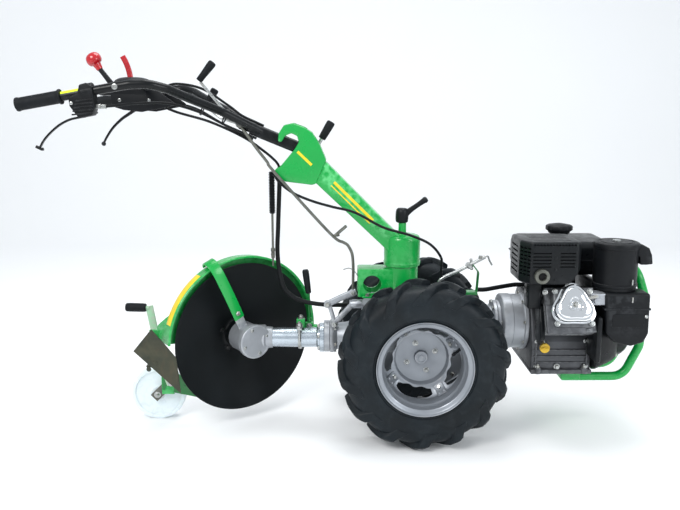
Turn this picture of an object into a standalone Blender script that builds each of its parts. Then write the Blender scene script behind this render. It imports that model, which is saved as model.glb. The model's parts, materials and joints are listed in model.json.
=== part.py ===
"""Walking tractor with a disc plough bolted to its power take-off.

Metres, +X forward (engine end), +Y to the machine's left, +Z up. The sizes below are
measured from the drive axle's middle (X, Y) and from the floor (Z). The last step moves
everything so that the origin is the middle of the bounding box, on the floor.
"""
import math

import bmesh
import bpy
from mathutils import Matrix, Vector

GAP = 0.0003            # left between two solids that touch

# Drive wheels
TYRE_RADIUS = 0.255     # under the lugs, to the floor
TYRE_WIDTH = 0.128
TRACK = 0.369           # between the tyres' middle planes
FLANGE_RADIUS = 0.1425
RIM_WIDTH = 0.116
DISH_DEPTH = 0.074      # of the hub face, inboard of the tyre's middle plane
WHEEL_SIDES = 28
AXLE_RADIUS = 0.020
AXLE_CLEARANCE = 0.0008
HUB_RADIUS = 0.060

# Gearbox and drive line
GEARBOX_HALF_WIDTH = 0.075
GEARBOX_TOP = 0.420
TRUMPET_RADIUS = 0.045
CRANK_Z = 0.335
PTO_Z = 0.2855
PTO_FLANGE_X = -0.277
PTO_FLANGE_RADIUS = 0.050
PTO_FLANGE_THICKNESS = 0.018

# Column
SWIVEL_X = -0.052
POST_RADIUS = 0.050
POST_TOP = 0.515
CAP_RADIUS = 0.056
CAP_TOP = 0.612
SWIVEL_CLEARANCE = 0.001
ARM_HALF_WIDTH = 0.034
SLOT_HALF_WIDTH = 0.0235
PIVOT_X = -0.345        # handlebar height pivot
PIVOT_Z = 0.868
PIN_RADIUS = 0.008
PIN_CLEARANCE = 0.0006

# Handlebar
STEM_RADIUS = 0.018
TUBE_RADIUS = 0.0125
HANDLE_HALF_WIDTH = 0.250
GRIP_RADIUS = 0.0175
GRIP_LENGTH = 0.124
HANDLE_END_X = -1.104
LUG_HALF_WIDTH = 0.009  # of the shift levers' lug, behind the stem

# Plough
DISC_YAW = math.radians(35.5)   # of the disc's axis, from straight sideways
DISC_RADIUS = 0.238
DISC_DEPTH = 0.062
DISC_THICKNESS = 0.004
AXIS_Z = PTO_Z - 0.0045         # of the drive tube and the disc
CASE_X = -0.543                 # where the disc's axis meets the tube's axis
CASE_RADIUS = 0.050
CASE_FRONT = 0.064
CASE_BACK = 0.030
SHAFT_CLEARANCE = 0.0008
RIM_BACK = 0.006                # the disc's rim plane, behind the tube's axis
TUBE_RADIUS_PLOUGH = 0.031
BAND_RADIUS = 0.256
BAND_THICKNESS = 0.004
BAND_FRONT = 0.002
BAND_REAR = 0.040
BAND_FOOT_REAR = 0.100          # where it widens to lie on the frame's leg
BAND_WIDENS = (math.radians(157), math.radians(167))
BAND_START = math.radians(-6)
BAND_END = math.radians(176)
BAND_STEPS = 28
LEG_PATH = [(-0.808, -0.082, 0.330), (-0.808, -0.074, 0.225), (-0.796, -0.006, 0.178),
            (-0.796, -0.006, 0.095)]
STRAP_ANGLE = math.radians(114)
STRAP_THICKNESS = 0.005
SUPPORT_RADIUS = 0.087
SUPPORT_WIDTH = 0.040
SUPPORT_X = -0.834
SUPPORT_Y = 0.036
SUPPORT_AXLE_RADIUS = 0.008
PIVOT_BOLT = (-0.785, 0.134)    # of the depth lever and the support wheel's arm, (x, z)
PIVOT_BOLT_RADIUS = 0.006
SCRAPER_Y = -0.145
SCRAPER_THICKNESS = 0.005

# Engine
ENGINE_BACK = 0.335
ENGINE_BASE = 0.200
BANK = math.radians(25)         # of the cylinder, above straight sideways
GUARD_TUBE = 0.0135
GUARD_Y = 0.060
GUARD_Z = 0.171

FINISHES = {
    "green paint": ((0.015, 0.42, 0.07), 0.30, 0.0),
    "pale green paint": ((0.45, 0.62, 0.35), 0.45, 0.0),
    "silver paint": ((0.60, 0.61, 0.62), 0.38, 0.6),
    "cast aluminium": ((0.55, 0.56, 0.57), 0.45, 0.9),
    "zinc": ((0.70, 0.70, 0.68), 0.30, 0.9),
    "chrome": ((0.85, 0.85, 0.86), 0.10, 1.0),
    "black paint": ((0.015, 0.015, 0.016), 0.35, 0.0),
    "black plastic": ((0.02, 0.02, 0.021), 0.45, 0.0),
    "rubber": ((0.018, 0.018, 0.019), 0.70, 0.0),
    "tyre": ((0.02, 0.02, 0.02), 0.75, 0.0),
    "disc steel": ((0.02, 0.02, 0.022), 0.22, 0.6),
    "scraper steel": ((0.10, 0.095, 0.075), 0.50, 0.5),
    "red plastic": ((0.62, 0.02, 0.02), 0.35, 0.0),
    "white nylon": ((0.80, 0.82, 0.84), 0.50, 0.0),
}

BODIES = {}             # name: empty that its nodes hang from
ORIGINS = {}            # name: the empty's place


def clear_scene():
    for old in list(bpy.data.objects):
        bpy.data.objects.remove(old, do_unlink=True)


def finish(name):
    found = bpy.data.materials.get(name)
    if found:
        return found
    colour, roughness, metallic = FINISHES[name]
    made = bpy.data.materials.new(name)
    made.use_nodes = True
    shader = made.node_tree.nodes["Principled BSDF"]
    shader.inputs["Base Color"].default_value = (*colour, 1.0)
    shader.inputs["Roughness"].default_value = roughness
    shader.inputs["Metallic"].default_value = metallic
    return made


def add_body(name, origin, parent="root"):
    empty = bpy.data.objects.new(name + "_axis", None)
    bpy.context.collection.objects.link(empty)
    empty.location = Vector(origin)
    if name != "root":
        empty.parent = BODIES[parent]
        empty.location -= ORIGINS[parent]
    BODIES[name] = empty
    ORIGINS[name] = Vector(origin)
    return empty


def add_node(name, body, finish_name, shape):
    """Turn a shape, in machine coordinates, into a named object on a body."""
    origin = ORIGINS[body]
    bmesh.ops.remove_doubles(shape, verts=shape.verts, dist=1e-5)
    mesh = bpy.data.meshes.new(name)
    shape.to_mesh(mesh)
    shape.free()
    mesh.transform(Matrix.Translation(-origin))
    mesh.materials.append(finish(finish_name))
    mesh.shade_smooth()
    mesh.set_sharp_from_angle(angle=math.radians(35))
    node = bpy.data.objects.new(name, mesh)
    bpy.context.collection.objects.link(node)
    node.parent = BODIES[body]
    return node


# Shapes ---------------------------------------------------------------------------------

def facing_out(shape):
    bmesh.ops.recalc_face_normals(shape, faces=shape.faces)
    return shape


def turned(profile, centre, along, sides=32):
    """A body turned about an axis. Profile points are (radius, distance along).

    Two opposite flats lie across the axis' vertical, so a wheel rests on a flat.
    """
    shape = bmesh.new()
    turn = Vector(along).to_track_quat("Z", "Y").to_matrix().to_4x4()
    frame = Matrix.Translation(Vector(centre)) @ turn
    step = math.tau / sides
    rings = []
    for radius, height in profile:
        if radius == 0:
            rings.append([shape.verts.new(frame @ Vector((0, 0, height)))])
            continue
        corner = radius / math.cos(step / 2)
        rings.append([
            shape.verts.new(frame @ Vector((corner * math.cos(step * (i + 0.5)),
                                            corner * math.sin(step * (i + 0.5)), height)))
            for i in range(sides)])
    is_open = profile[0][0] == 0 and profile[-1][0] == 0
    followers = rings[1:] if is_open else rings[1:] + rings[:1]
    for low, high in zip(rings, followers):
        for i in range(sides):
            j = (i + 1) % sides
            if len(low) == 1:
                shape.faces.new((low[0], high[i], high[j]))
            elif len(high) == 1:
                shape.faces.new((low[i], low[j], high[0]))
            else:
                shape.faces.new((low[i], low[j], high[j], high[i]))
    return facing_out(shape)


def cylinder(start, end, radius, sides=20):
    start, end = Vector(start), Vector(end)
    length = (end - start).length
    return turned([(0, 0), (radius, 0), (radius, length), (0, length)], start, end - start, sides)


def prism(outline, low, high, axis="Y"):
    """Extrude an outline: (x, z) along Y, (x, y) along Z or (y, z) along X."""
    shape = bmesh.new()

    def corner(u, v, w):
        return {"Y": (u, w, v), "Z": (u, v, w), "X": (w, u, v)}[axis]

    near = [shape.verts.new(corner(u, v, low)) for u, v in outline]
    far = [shape.verts.new(corner(u, v, high)) for u, v in outline]
    shape.faces.new(near)
    shape.faces.new(far)
    count = len(outline)
    for i in range(count):
        j = (i + 1) % count
        shape.faces.new((near[i], near[j], far[j], far[i]))
    return facing_out(shape)


def block(x, y, z, bevel=0.0, segments=2):
    """A box between pairs of limits, with its edges rounded."""
    shape = bmesh.new()
    bmesh.ops.create_cube(shape, size=1.0)
    size = Vector((x[1] - x[0], y[1] - y[0], z[1] - z[0]))
    middle = Vector((x[0] + x[1], y[0] + y[1], z[0] + z[1])) / 2
    bmesh.ops.scale(shape, vec=size, verts=shape.verts)
    bmesh.ops.translate(shape, vec=middle, verts=shape.verts)
    if bevel:
        bmesh.ops.bevel(shape, geom=shape.edges[:], offset=bevel, segments=segments,
                        profile=0.5, affect="EDGES")
    return facing_out(shape)


def turned_by(shape, angle, axis, about):
    turn = Matrix.Rotation(angle, 4, axis)
    there = Matrix.Translation(Vector(about))
    bmesh.ops.transform(shape, matrix=there @ turn @ there.inverted(), verts=shape.verts)
    return shape


def swept(points, section, across=None):
    """Sweep a closed section of (side, up) points along a path, with flat ends."""
    points = [Vector(p) for p in points]
    shape = bmesh.new()
    rings = []
    side = None
    for i, here in enumerate(points):
        ahead = (points[min(i + 1, len(points) - 1)] - here).normalized()
        behind = (here - points[max(i - 1, 0)]).normalized()
        along = (ahead + behind).normalized()
        if across is not None:
            side = Vector(across)
        elif side is None:
            side = along.orthogonal()
        side = (side - along * side.dot(along)).normalized()
        up = along.cross(side)
        stretch = 1.0
        if 0 < i < len(points) - 1:
            stretch = 1.0 / max(0.5, math.cos(ahead.angle(behind) / 2))
        bend = (ahead - behind)
        bend = bend.normalized() if bend.length > 1e-6 else Vector((0, 0, 0))
        ring = []
        for s, u in section:
            offset = side * s + up * u
            offset += bend * offset.dot(bend) * (stretch - 1.0)
            ring.append(shape.verts.new(here + offset))
        rings.append(ring)
    shape.faces.new(rings[0])
    shape.faces.new(rings[-1])
    count = len(section)
    for low, high in zip(rings, rings[1:]):
        for i in range(count):
            j = (i + 1) % count
            shape.faces.new((low[i], low[j], high[j], high[i]))
    return facing_out(shape)


def round_section(radius, sides=12):
    return [(radius * math.cos(math.tau * i / sides), radius * math.sin(math.tau * i / sides))
            for i in range(sides)]


def flat_section(width, thickness):
    w, t = width / 2, thickness / 2
    return [(-w, -t), (w, -t), (w, t), (-w, t)]


def bent(points, radius, steps=4):
    """A path whose inner corners are rounded, as a bent tube's are."""
    points = [Vector(p) for p in points]
    path = [points[0]]
    for before, here, after in zip(points, points[1:], points[2:]):
        back = (before - here)
        forth = (after - here)
        turn = math.pi - back.angle(forth)
        cut = min(radius * math.tan(turn / 2), 0.45 * back.length, 0.45 * forth.length)
        start = here + back.normalized() * cut
        end = here + forth.normalized() * cut
        for k in range(steps + 1):
            t = k / steps
            path.append(start * (1 - t) ** 2 + here * 2 * t * (1 - t) + end * t * t)
    path.append(points[-1])
    return path


def smooth_route(points, spacing):
    """A smooth curve through a route's points, read at an even spacing."""
    points = [Vector(p) for p in points]
    padded = [points[0] * 2 - points[1]] + points + [points[-1] * 2 - points[-2]]
    fine = []
    for a, b, c, d in zip(padded, padded[1:], padded[2:], padded[3:]):
        for k in range(20):
            t = k / 20
            fine.append(0.5 * (b * 2 + (c - a) * t + (a * 2 - b * 5 + c * 4 - d) * t ** 2
                               + (b * 3 - a - c * 3 + d) * t ** 3))
    fine.append(points[-1])
    total = sum((q - p).length for p, q in zip(fine, fine[1:]))
    count = max(2, round(total / spacing))
    route = [fine[0]]
    walked = 0.0
    target = total / count
    for p, q in zip(fine, fine[1:]):
        walked += (q - p).length
        if walked >= target - 1e-9 and len(route) < count:
            route.append(q)
            target += total / count
    route.append(fine[-1])
    return route


def add_cable(name, body, finish_name, points, radius, sides_level=2):
    """A round cable or hose on a smooth route."""
    origin = ORIGINS[body]
    curve = bpy.data.curves.new(name, "CURVE")
    curve.dimensions = "3D"
    curve.bevel_depth = radius
    curve.bevel_resolution = sides_level
    curve.use_fill_caps = True
    curve.render_resolution_u = 0
    route = smooth_route(points, max(3 * 2 * radius, 0.012))
    spline = curve.splines.new("POLY")
    spline.points.add(len(route) - 1)
    for slot, place in zip(spline.points, route):
        slot.co = (*(place - origin), 1.0)
    curve.materials.append(finish(finish_name))
    node = bpy.data.objects.new(name, curve)
    bpy.context.collection.objects.link(node)
    node.parent = BODIES[body]
    return node


def combined(first, joined=(), cut=()):
    """Join shapes to the first one, then cut others out of it."""
    def temporary(shape):
        mesh = bpy.data.meshes.new("temporary")
        shape.to_mesh(mesh)
        shape.free()
        made = bpy.data.objects.new("temporary", mesh)
        bpy.context.collection.objects.link(made)
        return made

    base = temporary(first)
    steps = [(shape, "UNION") for shape in joined] + [(shape, "DIFFERENCE") for shape in cut]
    for shape, operation in steps:
        tool = temporary(shape)
        modifier = base.modifiers.new("join", "BOOLEAN")
        modifier.object = tool
        modifier.operation = operation
        modifier.solver = "EXACT"
        seen = base.evaluated_get(bpy.context.evaluated_depsgraph_get())
        mesh = bpy.data.meshes.new_from_object(seen)
        base.modifiers.clear()
        base.data = mesh
        bpy.data.objects.remove(tool, do_unlink=True)
    result = bmesh.new()
    result.from_mesh(base.data)
    bpy.data.objects.remove(base, do_unlink=True)
    return result


# Drive wheels ---------------------------------------------------------------------------

def make_wheel(label, side):
    centre = Vector((0, side * TRACK / 2, TYRE_RADIUS))
    out = (0, side, 0)
    body = label + "_wheel"
    add_body(body, centre)
    half = TYRE_WIDTH / 2
    seat = FLANGE_RADIUS - 0.0145
    tread = TYRE_RADIUS
    outer = [(seat, 0.047), (0.165, half - 0.001), (0.236, half - 0.003), (tread, 0.044)]
    inner = [(tread - 0.016, 0.036), (0.185, half - 0.013), (seat, 0.034)]
    loop = (outer + [(r, -h) for r, h in reversed(outer)]
            + [(r, -h) for r, h in reversed(inner)] + inner)
    add_node(label + "_tyre", body, "tyre", turned(loop, centre, out, WHEEL_SIDES))

    edge = RIM_WIDTH / 2
    barrel_out = [(FLANGE_RADIUS, edge), (FLANGE_RADIUS, edge - 0.004), (seat - GAP, edge - 0.009)]
    barrel_in = [(seat - 0.004, edge - 0.006)]
    barrel = (barrel_out + [(r, -h) for r, h in reversed(barrel_out)]
              + [(r, -h) for r, h in reversed(barrel_in)] + barrel_in)
    wall = seat - 0.003
    dish = [(wall, -0.012), (0.086, -0.042), (0.064, -0.046), (0.062, -DISH_DEPTH + 0.006),
            (0.024, -DISH_DEPTH + 0.006), (0.022, -DISH_DEPTH + 0.018), (0, -DISH_DEPTH + 0.018),
            (0, -DISH_DEPTH), (0.066, -DISH_DEPTH), (0.069, -0.051), (0.088, -0.047),
            (wall, -0.018)]
    disc = turned(dish_loop(dish), centre, out, 16)
    windows = []
    for k in range(4):
        angle = math.radians(45 + 90 * k)
        at = centre + Vector((math.cos(angle), 0, math.sin(angle))) * 0.094
        start = at - Vector(out) * 0.10
        windows.append(cylinder(start, start + Vector(out) * 0.12, 0.0135, 8))
    rim = combined(turned(barrel, centre, out, WHEEL_SIDES), joined=[disc], cut=windows)
    add_node(label + "_rim", body, "silver paint", rim)

    face = TRACK / 2 - DISH_DEPTH - GAP
    flange_back = face - 0.010
    hub = combined(
        cylinder((0, side * flange_back, TYRE_RADIUS), (0, side * face, TYRE_RADIUS), HUB_RADIUS, 32),
        joined=[cylinder((0, side * 0.040, TYRE_RADIUS), (0, side * (face - 0.002), TYRE_RADIUS),
                         AXLE_RADIUS, 24)])
    add_node(label + "_axle_hub", body, "cast aluminium", hub)


def dish_loop(points):
    """Keep a turned profile that meets its axis as one open run."""
    first_on_axis = next(i for i, p in enumerate(points) if p[0] == 0)
    return points[first_on_axis + 1:] + points[:first_on_axis + 1]


# Drive line -----------------------------------------------------------------------------

def make_gearbox():
    outline = [(-0.150, 0.180), (-0.080, 0.150), (0.090, 0.150), (0.160, 0.195), (0.190, 0.262),
               (0.190, 0.400), (0.165, GEARBOX_TOP), (-0.135, GEARBOX_TOP), (-0.175, 0.385),
               (-0.175, 0.235)]
    w = GEARBOX_HALF_WIDTH
    trumpet = w + 0.017
    bore = AXLE_RADIUS + AXLE_CLEARANCE
    case = combined(
        prism(outline, -w, w),
        joined=[cylinder((0, s * 0.050, TYRE_RADIUS), (0, s * trumpet, TYRE_RADIUS), TRUMPET_RADIUS, 24)
                for s in (-1, 1)] + [
                cylinder((-0.12, 0, PTO_Z), (PTO_FLANGE_X - GAP, 0, PTO_Z), 0.042, 24),
                cylinder((0.12, 0, CRANK_Z), (0.245, 0, CRANK_Z), 0.050, 24)],
        cut=[cylinder((0, s * 0.036, TYRE_RADIUS), (0, s * 0.12, TYRE_RADIUS), bore, 24)
             for s in (-1, 1)])
    add_node("gearbox", "root", "cast aluminium", case)

    bell = turned([(0, 0.245 + GAP), (0.058, 0.245 + GAP), (0.080, 0.278), (0.088, 0.300),
                   (0.088, ENGINE_BACK - GAP), (0, ENGINE_BACK - GAP)], (0, 0, CRANK_Z), (1, 0, 0))
    add_node("clutch_housing", "root", "cast aluminium", bell)

    end = PTO_FLANGE_X - PTO_FLANGE_THICKNESS
    flange = cylinder((PTO_FLANGE_X - 2 * GAP, 0, PTO_Z), (end, 0, PTO_Z), PTO_FLANGE_RADIUS, 32)
    add_node("pto_flange", "root", "cast aluminium", flange)


# Column ---------------------------------------------------------------------------------

def make_column():
    base = combined(
        prism([(-0.190, GEARBOX_TOP + GAP), (-0.190, 0.509), (SWIVEL_X, 0.509),
               (SWIVEL_X, GEARBOX_TOP + GAP)], -0.040, 0.040),
        joined=[cylinder((SWIVEL_X, 0, GEARBOX_TOP + GAP), (SWIVEL_X, 0, POST_TOP), POST_RADIUS, 32)],
        cut=[cylinder((-0.146, -0.06, 0.462), (-0.146, 0.06, 0.462), 0.028)])
    add_node("column_base", "root", "green paint", base)

    add_body("column", (SWIVEL_X, 0, POST_TOP))
    arm_outline = [(-0.065, CAP_TOP), (-0.284, 0.832), (-0.296, 0.865), (-0.305, 0.886),
                   (-0.328, 0.924), (-0.352, 0.940), (-0.385, 0.952), (-0.412, 0.946),
                   (-0.428, 0.922), (-0.430, 0.898), (-0.420, 0.896), (-0.408, 0.915),
                   (-0.390, 0.922), (-0.372, 0.915), (-0.366, 0.895), (-0.372, 0.850),
                   (-0.392, 0.828), (-0.440, 0.815), (-0.444, 0.796), (-0.410, 0.778),
                   (-0.330, 0.768), (-0.318, 0.771), (-0.100, 0.565), (-0.052, 0.545)]
    arm = prism(arm_outline, -ARM_HALF_WIDTH, ARM_HALF_WIDTH)
    cap = cylinder((SWIVEL_X, 0, POST_TOP + SWIVEL_CLEARANCE), (SWIVEL_X, 0, CAP_TOP), CAP_RADIUS, 32)
    slot = combined(
        cylinder((PIVOT_X, -SLOT_HALF_WIDTH, PIVOT_Z), (PIVOT_X, SLOT_HALF_WIDTH, PIVOT_Z), 0.036),
        joined=[prism([(PIVOT_X + 0.006, PIVOT_Z - 0.0352), (-0.36, 0.80), (-0.47, 0.80),
                       (-0.47, 1.00), (-0.37, 1.00), (PIVOT_X + 0.02, PIVOT_Z + 0.029)],
                      -SLOT_HALF_WIDTH, SLOT_HALF_WIDTH)])
    pin = PIN_RADIUS + GAP
    arm = combined(arm, joined=[cap],
                   cut=[slot, cylinder((PIVOT_X, -0.05, PIVOT_Z), (PIVOT_X, 0.05, PIVOT_Z), pin)])
    add_node("steering_arm", "column", "green paint", arm)
    reach = ARM_HALF_WIDTH + 0.006
    bolt = combined(
        cylinder((PIVOT_X, -reach, PIVOT_Z), (PIVOT_X, reach, PIVOT_Z), PIN_RADIUS),
        joined=[cylinder((PIVOT_X, s * (ARM_HALF_WIDTH + GAP), PIVOT_Z), (PIVOT_X, s * reach, PIVOT_Z),
                         0.014, 6) for s in (-1, 1)])
    add_node("height_pivot_bolt", "column", "zinc", bolt)

    lever = combined(
        cylinder((SWIVEL_X, 0, CAP_TOP + GAP), (SWIVEL_X, 0, 0.652), 0.0118, 16),
        joined=[cylinder((SWIVEL_X - 0.002, 0, 0.648), (SWIVEL_X - 0.002, 0, 0.694), 0.020, 16),
                swept(bent([(SWIVEL_X, 0, 0.678), (-0.020, 0, 0.692), (0.018, 0, 0.722)], 0.02),
                      round_section(0.008, 8))])
    add_node("swivel_clamp_lever", "column", "black plastic", lever)

    height = combined(
        cylinder((-0.318, ARM_HALF_WIDTH + GAP, 0.874), (-0.318, ARM_HALF_WIDTH + 0.020, 0.874),
                 0.012, 16),
        joined=[swept([(-0.318, ARM_HALF_WIDTH + 0.012, 0.874), (-0.300, 0.048, 0.905)],
                      round_section(0.006, 8)),
                swept([(-0.301, 0.048, 0.903), (-0.270, 0.048, 0.955)], round_section(0.013, 12))])
    add_node("height_lever", "column", "black plastic", height)


# Handlebar ------------------------------------------------------------------------------

def handle_points(side):
    w = HANDLE_HALF_WIDTH
    return [(-0.470, 0, 0.920), (-0.5885, side * 0.070, 0.985), (-0.665, side * 0.150, 1.021),
            (-0.7174, side * 0.215, 1.0475), (-0.755, side * 0.243, 1.058),
            (-0.8066, side * w, 1.057), (-0.889, side * w, 1.043), (HANDLE_END_X, side * w, 1.005)]


def make_handlebar():
    add_body("handlebar", (PIVOT_X, 0, PIVOT_Z), "column")
    tongue = cylinder((PIVOT_X, -SLOT_HALF_WIDTH + 0.003, PIVOT_Z),
                      (PIVOT_X, SLOT_HALF_WIDTH - 0.003, PIVOT_Z), 0.026, 24)
    stem = swept([(PIVOT_X, 0, PIVOT_Z), (-0.440, 0, 0.9065), (-0.500, 0, 0.930)],
                 flat_section(0.036, 0.036), across=(0, 1, 0))
    tubes = [swept(bent(handle_points(s), 0.06, 2), round_section(TUBE_RADIUS, 10)) for s in (-1, 1)]
    w = HANDLE_HALF_WIDTH
    cross = cylinder((-0.8066, -w, 1.057), (-0.8066, w, 1.057), 0.011, 12)
    hole = cylinder((PIVOT_X, -0.05, PIVOT_Z), (PIVOT_X, 0.05, PIVOT_Z), PIN_RADIUS + PIN_CLEARANCE)
    lug = prism([(-0.490, 0.915), (-0.490, 0.935), (-0.545, 0.962), (-0.560, 0.950), (-0.548, 0.934)],
                -LUG_HALF_WIDTH, LUG_HALF_WIDTH)
    frame = combined(tongue, joined=[stem, *tubes, cross, lug], cut=[hole])
    add_node("handlebar", "handlebar", "black paint", frame)

    for label, side in (("right", -1), ("left", 1)):
        last = Vector(handle_points(side)[-1])
        along = (last - Vector(handle_points(side)[-2])).normalized()
        start = last - along * (GRIP_LENGTH - 0.006)
        inner = TUBE_RADIUS / math.cos(math.pi / 10) + GAP
        grip = blind_sleeve(start, along, inner)
        add_node(label + "_grip", "handlebar", "rubber", grip)


def blind_sleeve(start, along, inner):
    """A grip: a tube closed at its outer end."""
    full = turned([(0, 0), (GRIP_RADIUS + 0.003, 0), (GRIP_RADIUS, 0.008),
                   (GRIP_RADIUS, GRIP_LENGTH - 0.006), (GRIP_RADIUS - 0.004, GRIP_LENGTH),
                   (0, GRIP_LENGTH)], start, along, 24)
    back = start - along * 0.01
    return combined(full, cut=[cylinder(back, start + along * (GRIP_LENGTH - 0.006 + GAP), inner, 24)])


def make_controls():
    """Console, control box, hand levers and shift levers on the handlebar."""
    w = HANDLE_HALF_WIDTH
    clear_tube = cylinder((-0.8066, -0.2, 1.057), (-0.8066, 0.2, 1.057), 0.0115 + GAP, 12)
    console = combined(
        block((-0.940, -0.790), (-0.085, 0.085), (1.030, 1.064), 0.008, 1),
        joined=[block((-0.900, -0.815), (-0.045, 0.045), (1.050, 1.085), 0.012, 1)],
        cut=[clear_tube])
    add_node("console", "handlebar", "black plastic", console)

    knob = combined(
        swept([(-0.915, -0.020, 1.058), (-0.945, -0.020, 1.095), (-0.965, -0.020, 1.130)],
              round_section(0.006, 8)),
        joined=[turned([(0, -0.010), (0.014, -0.008), (0.022, 0.002), (0.022, 0.010),
                        (0.013, 0.020), (0, 0.022)], (-0.968, -0.020, 1.134), (-0.35, 0, 0.93), 16)])
    add_node("red_knob_lever", "handlebar", "red plastic", seated_on_console(knob))
    blade = swept([(-0.875, 0.030, 1.075), (-0.880, 0.030, 1.105), (-0.895, 0.030, 1.147)],
                  flat_section(0.012, 0.020), across=(0, 1, 0))
    add_node("red_reverse_lever", "handlebar", "red plastic", seated_on_console(blade))

    start = Vector((-0.889, -w, 1.043))
    along = (Vector((HANDLE_END_X, -w, 1.005)) - start).normalized()
    tube = cylinder(start - along * 0.05, start + along * 0.2, TUBE_RADIUS / math.cos(math.pi / 10) + GAP)
    box = combined(block((-0.958, -0.900), (-w - 0.024, -w + 0.030), (0.972, 1.056), 0.006, 1),
                   cut=[tube])
    add_node("control_box", "handlebar", "black plastic", box)

    right = combined(
        swept(bent([(-0.938, -w, 0.980), (-0.950, -w, 0.960), (-1.010, -w, 0.940),
                    (-1.054, -w, 0.889), (-1.062, -w, 0.892)], 0.03, 3),
              flat_section(0.012, 0.006), across=(0, 1, 0)),
        cut=[block((-0.960, -0.890), (-w - 0.03, -w + 0.03), (0.972 - GAP, 1.0))])
    add_node("right_hand_lever", "handlebar", "zinc", right)
    perch = combined(block((-0.945, -0.865), (w - 0.014, w + 0.014), (0.985, 1.030), 0.005, 1),
                     joined=[block((-0.935, -0.885), (w - 0.017, w + 0.017), (1.015, 1.058), 0.006, 1)],
                     cut=[cylinder(start.reflect(Vector((0, 1, 0))) - along * 0.05,
                                   start.reflect(Vector((0, 1, 0))) + along * 0.2,
                                   TUBE_RADIUS / math.cos(math.pi / 10) + GAP)])
    left = swept(bent([(-0.926, w, 0.995), (-0.945, w, 0.968), (-1.005, w, 0.940),
                       (-1.040, w, 0.878), (-1.048, w, 0.880)], 0.03, 3),
                 flat_section(0.012, 0.006), across=(0, 1, 0))
    add_node("left_hand_lever", "handlebar", "black paint", combined(perch, joined=[left]))

    for label, side, path, grip in (
            ("gear_lever", -1, [(-0.547, 0.948), (-0.580, 0.977), (-0.656, 1.071)],
             [(-0.659, 1.075), (-0.616, 1.128)]),
            ("speed_lever", 1, [(-0.547, 0.948), (-0.605, 0.966), (-0.650, 1.000)],
             [(-0.652, 1.000), (-0.620, 1.052)])):
        inner = side * (LUG_HALF_WIDTH + GAP)
        y = side * (LUG_HALF_WIDTH + GAP + 0.0045)
        grip_y = 2 * y
        rod = swept([(path[0][0], y, path[0][1]), (path[1][0], y, path[1][1]),
                     (path[2][0], grip_y, path[2][1])], round_section(0.004, 8))
        knob = swept([(x, grip_y, z) for x, z in grip], round_section(0.012, 12))
        boss = cylinder((-0.547, inner, 0.948), (-0.547, inner + side * 0.009, 0.948), 0.010, 12)
        add_node(label, "handlebar", "black plastic", combined(rod, joined=[knob, boss]))


def seated_on_console(shape):
    """Cut a lever's foot back to the console's top."""
    return combined(shape, cut=[block((-0.941, -0.789), (-0.086, 0.086), (1.020, 1.064 + GAP)),
                                block((-0.901, -0.814), (-0.046, 0.046), (1.040, 1.085 + GAP))])


# Plough ---------------------------------------------------------------------------------

AXIS = Vector((math.sin(DISC_YAW), -math.cos(DISC_YAW), 0))     # towards the open side
ACROSS = Vector((math.cos(DISC_YAW), math.sin(DISC_YAW), 0))    # along the disc, forward


def on_plough(s, across=0.0, up=0.0):
    """A point near the disc: s along its axis from the drive tube, across and up."""
    return Vector((CASE_X, 0, AXIS_Z)) + AXIS * s + ACROSS * across + Vector((0, 0, up))


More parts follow.
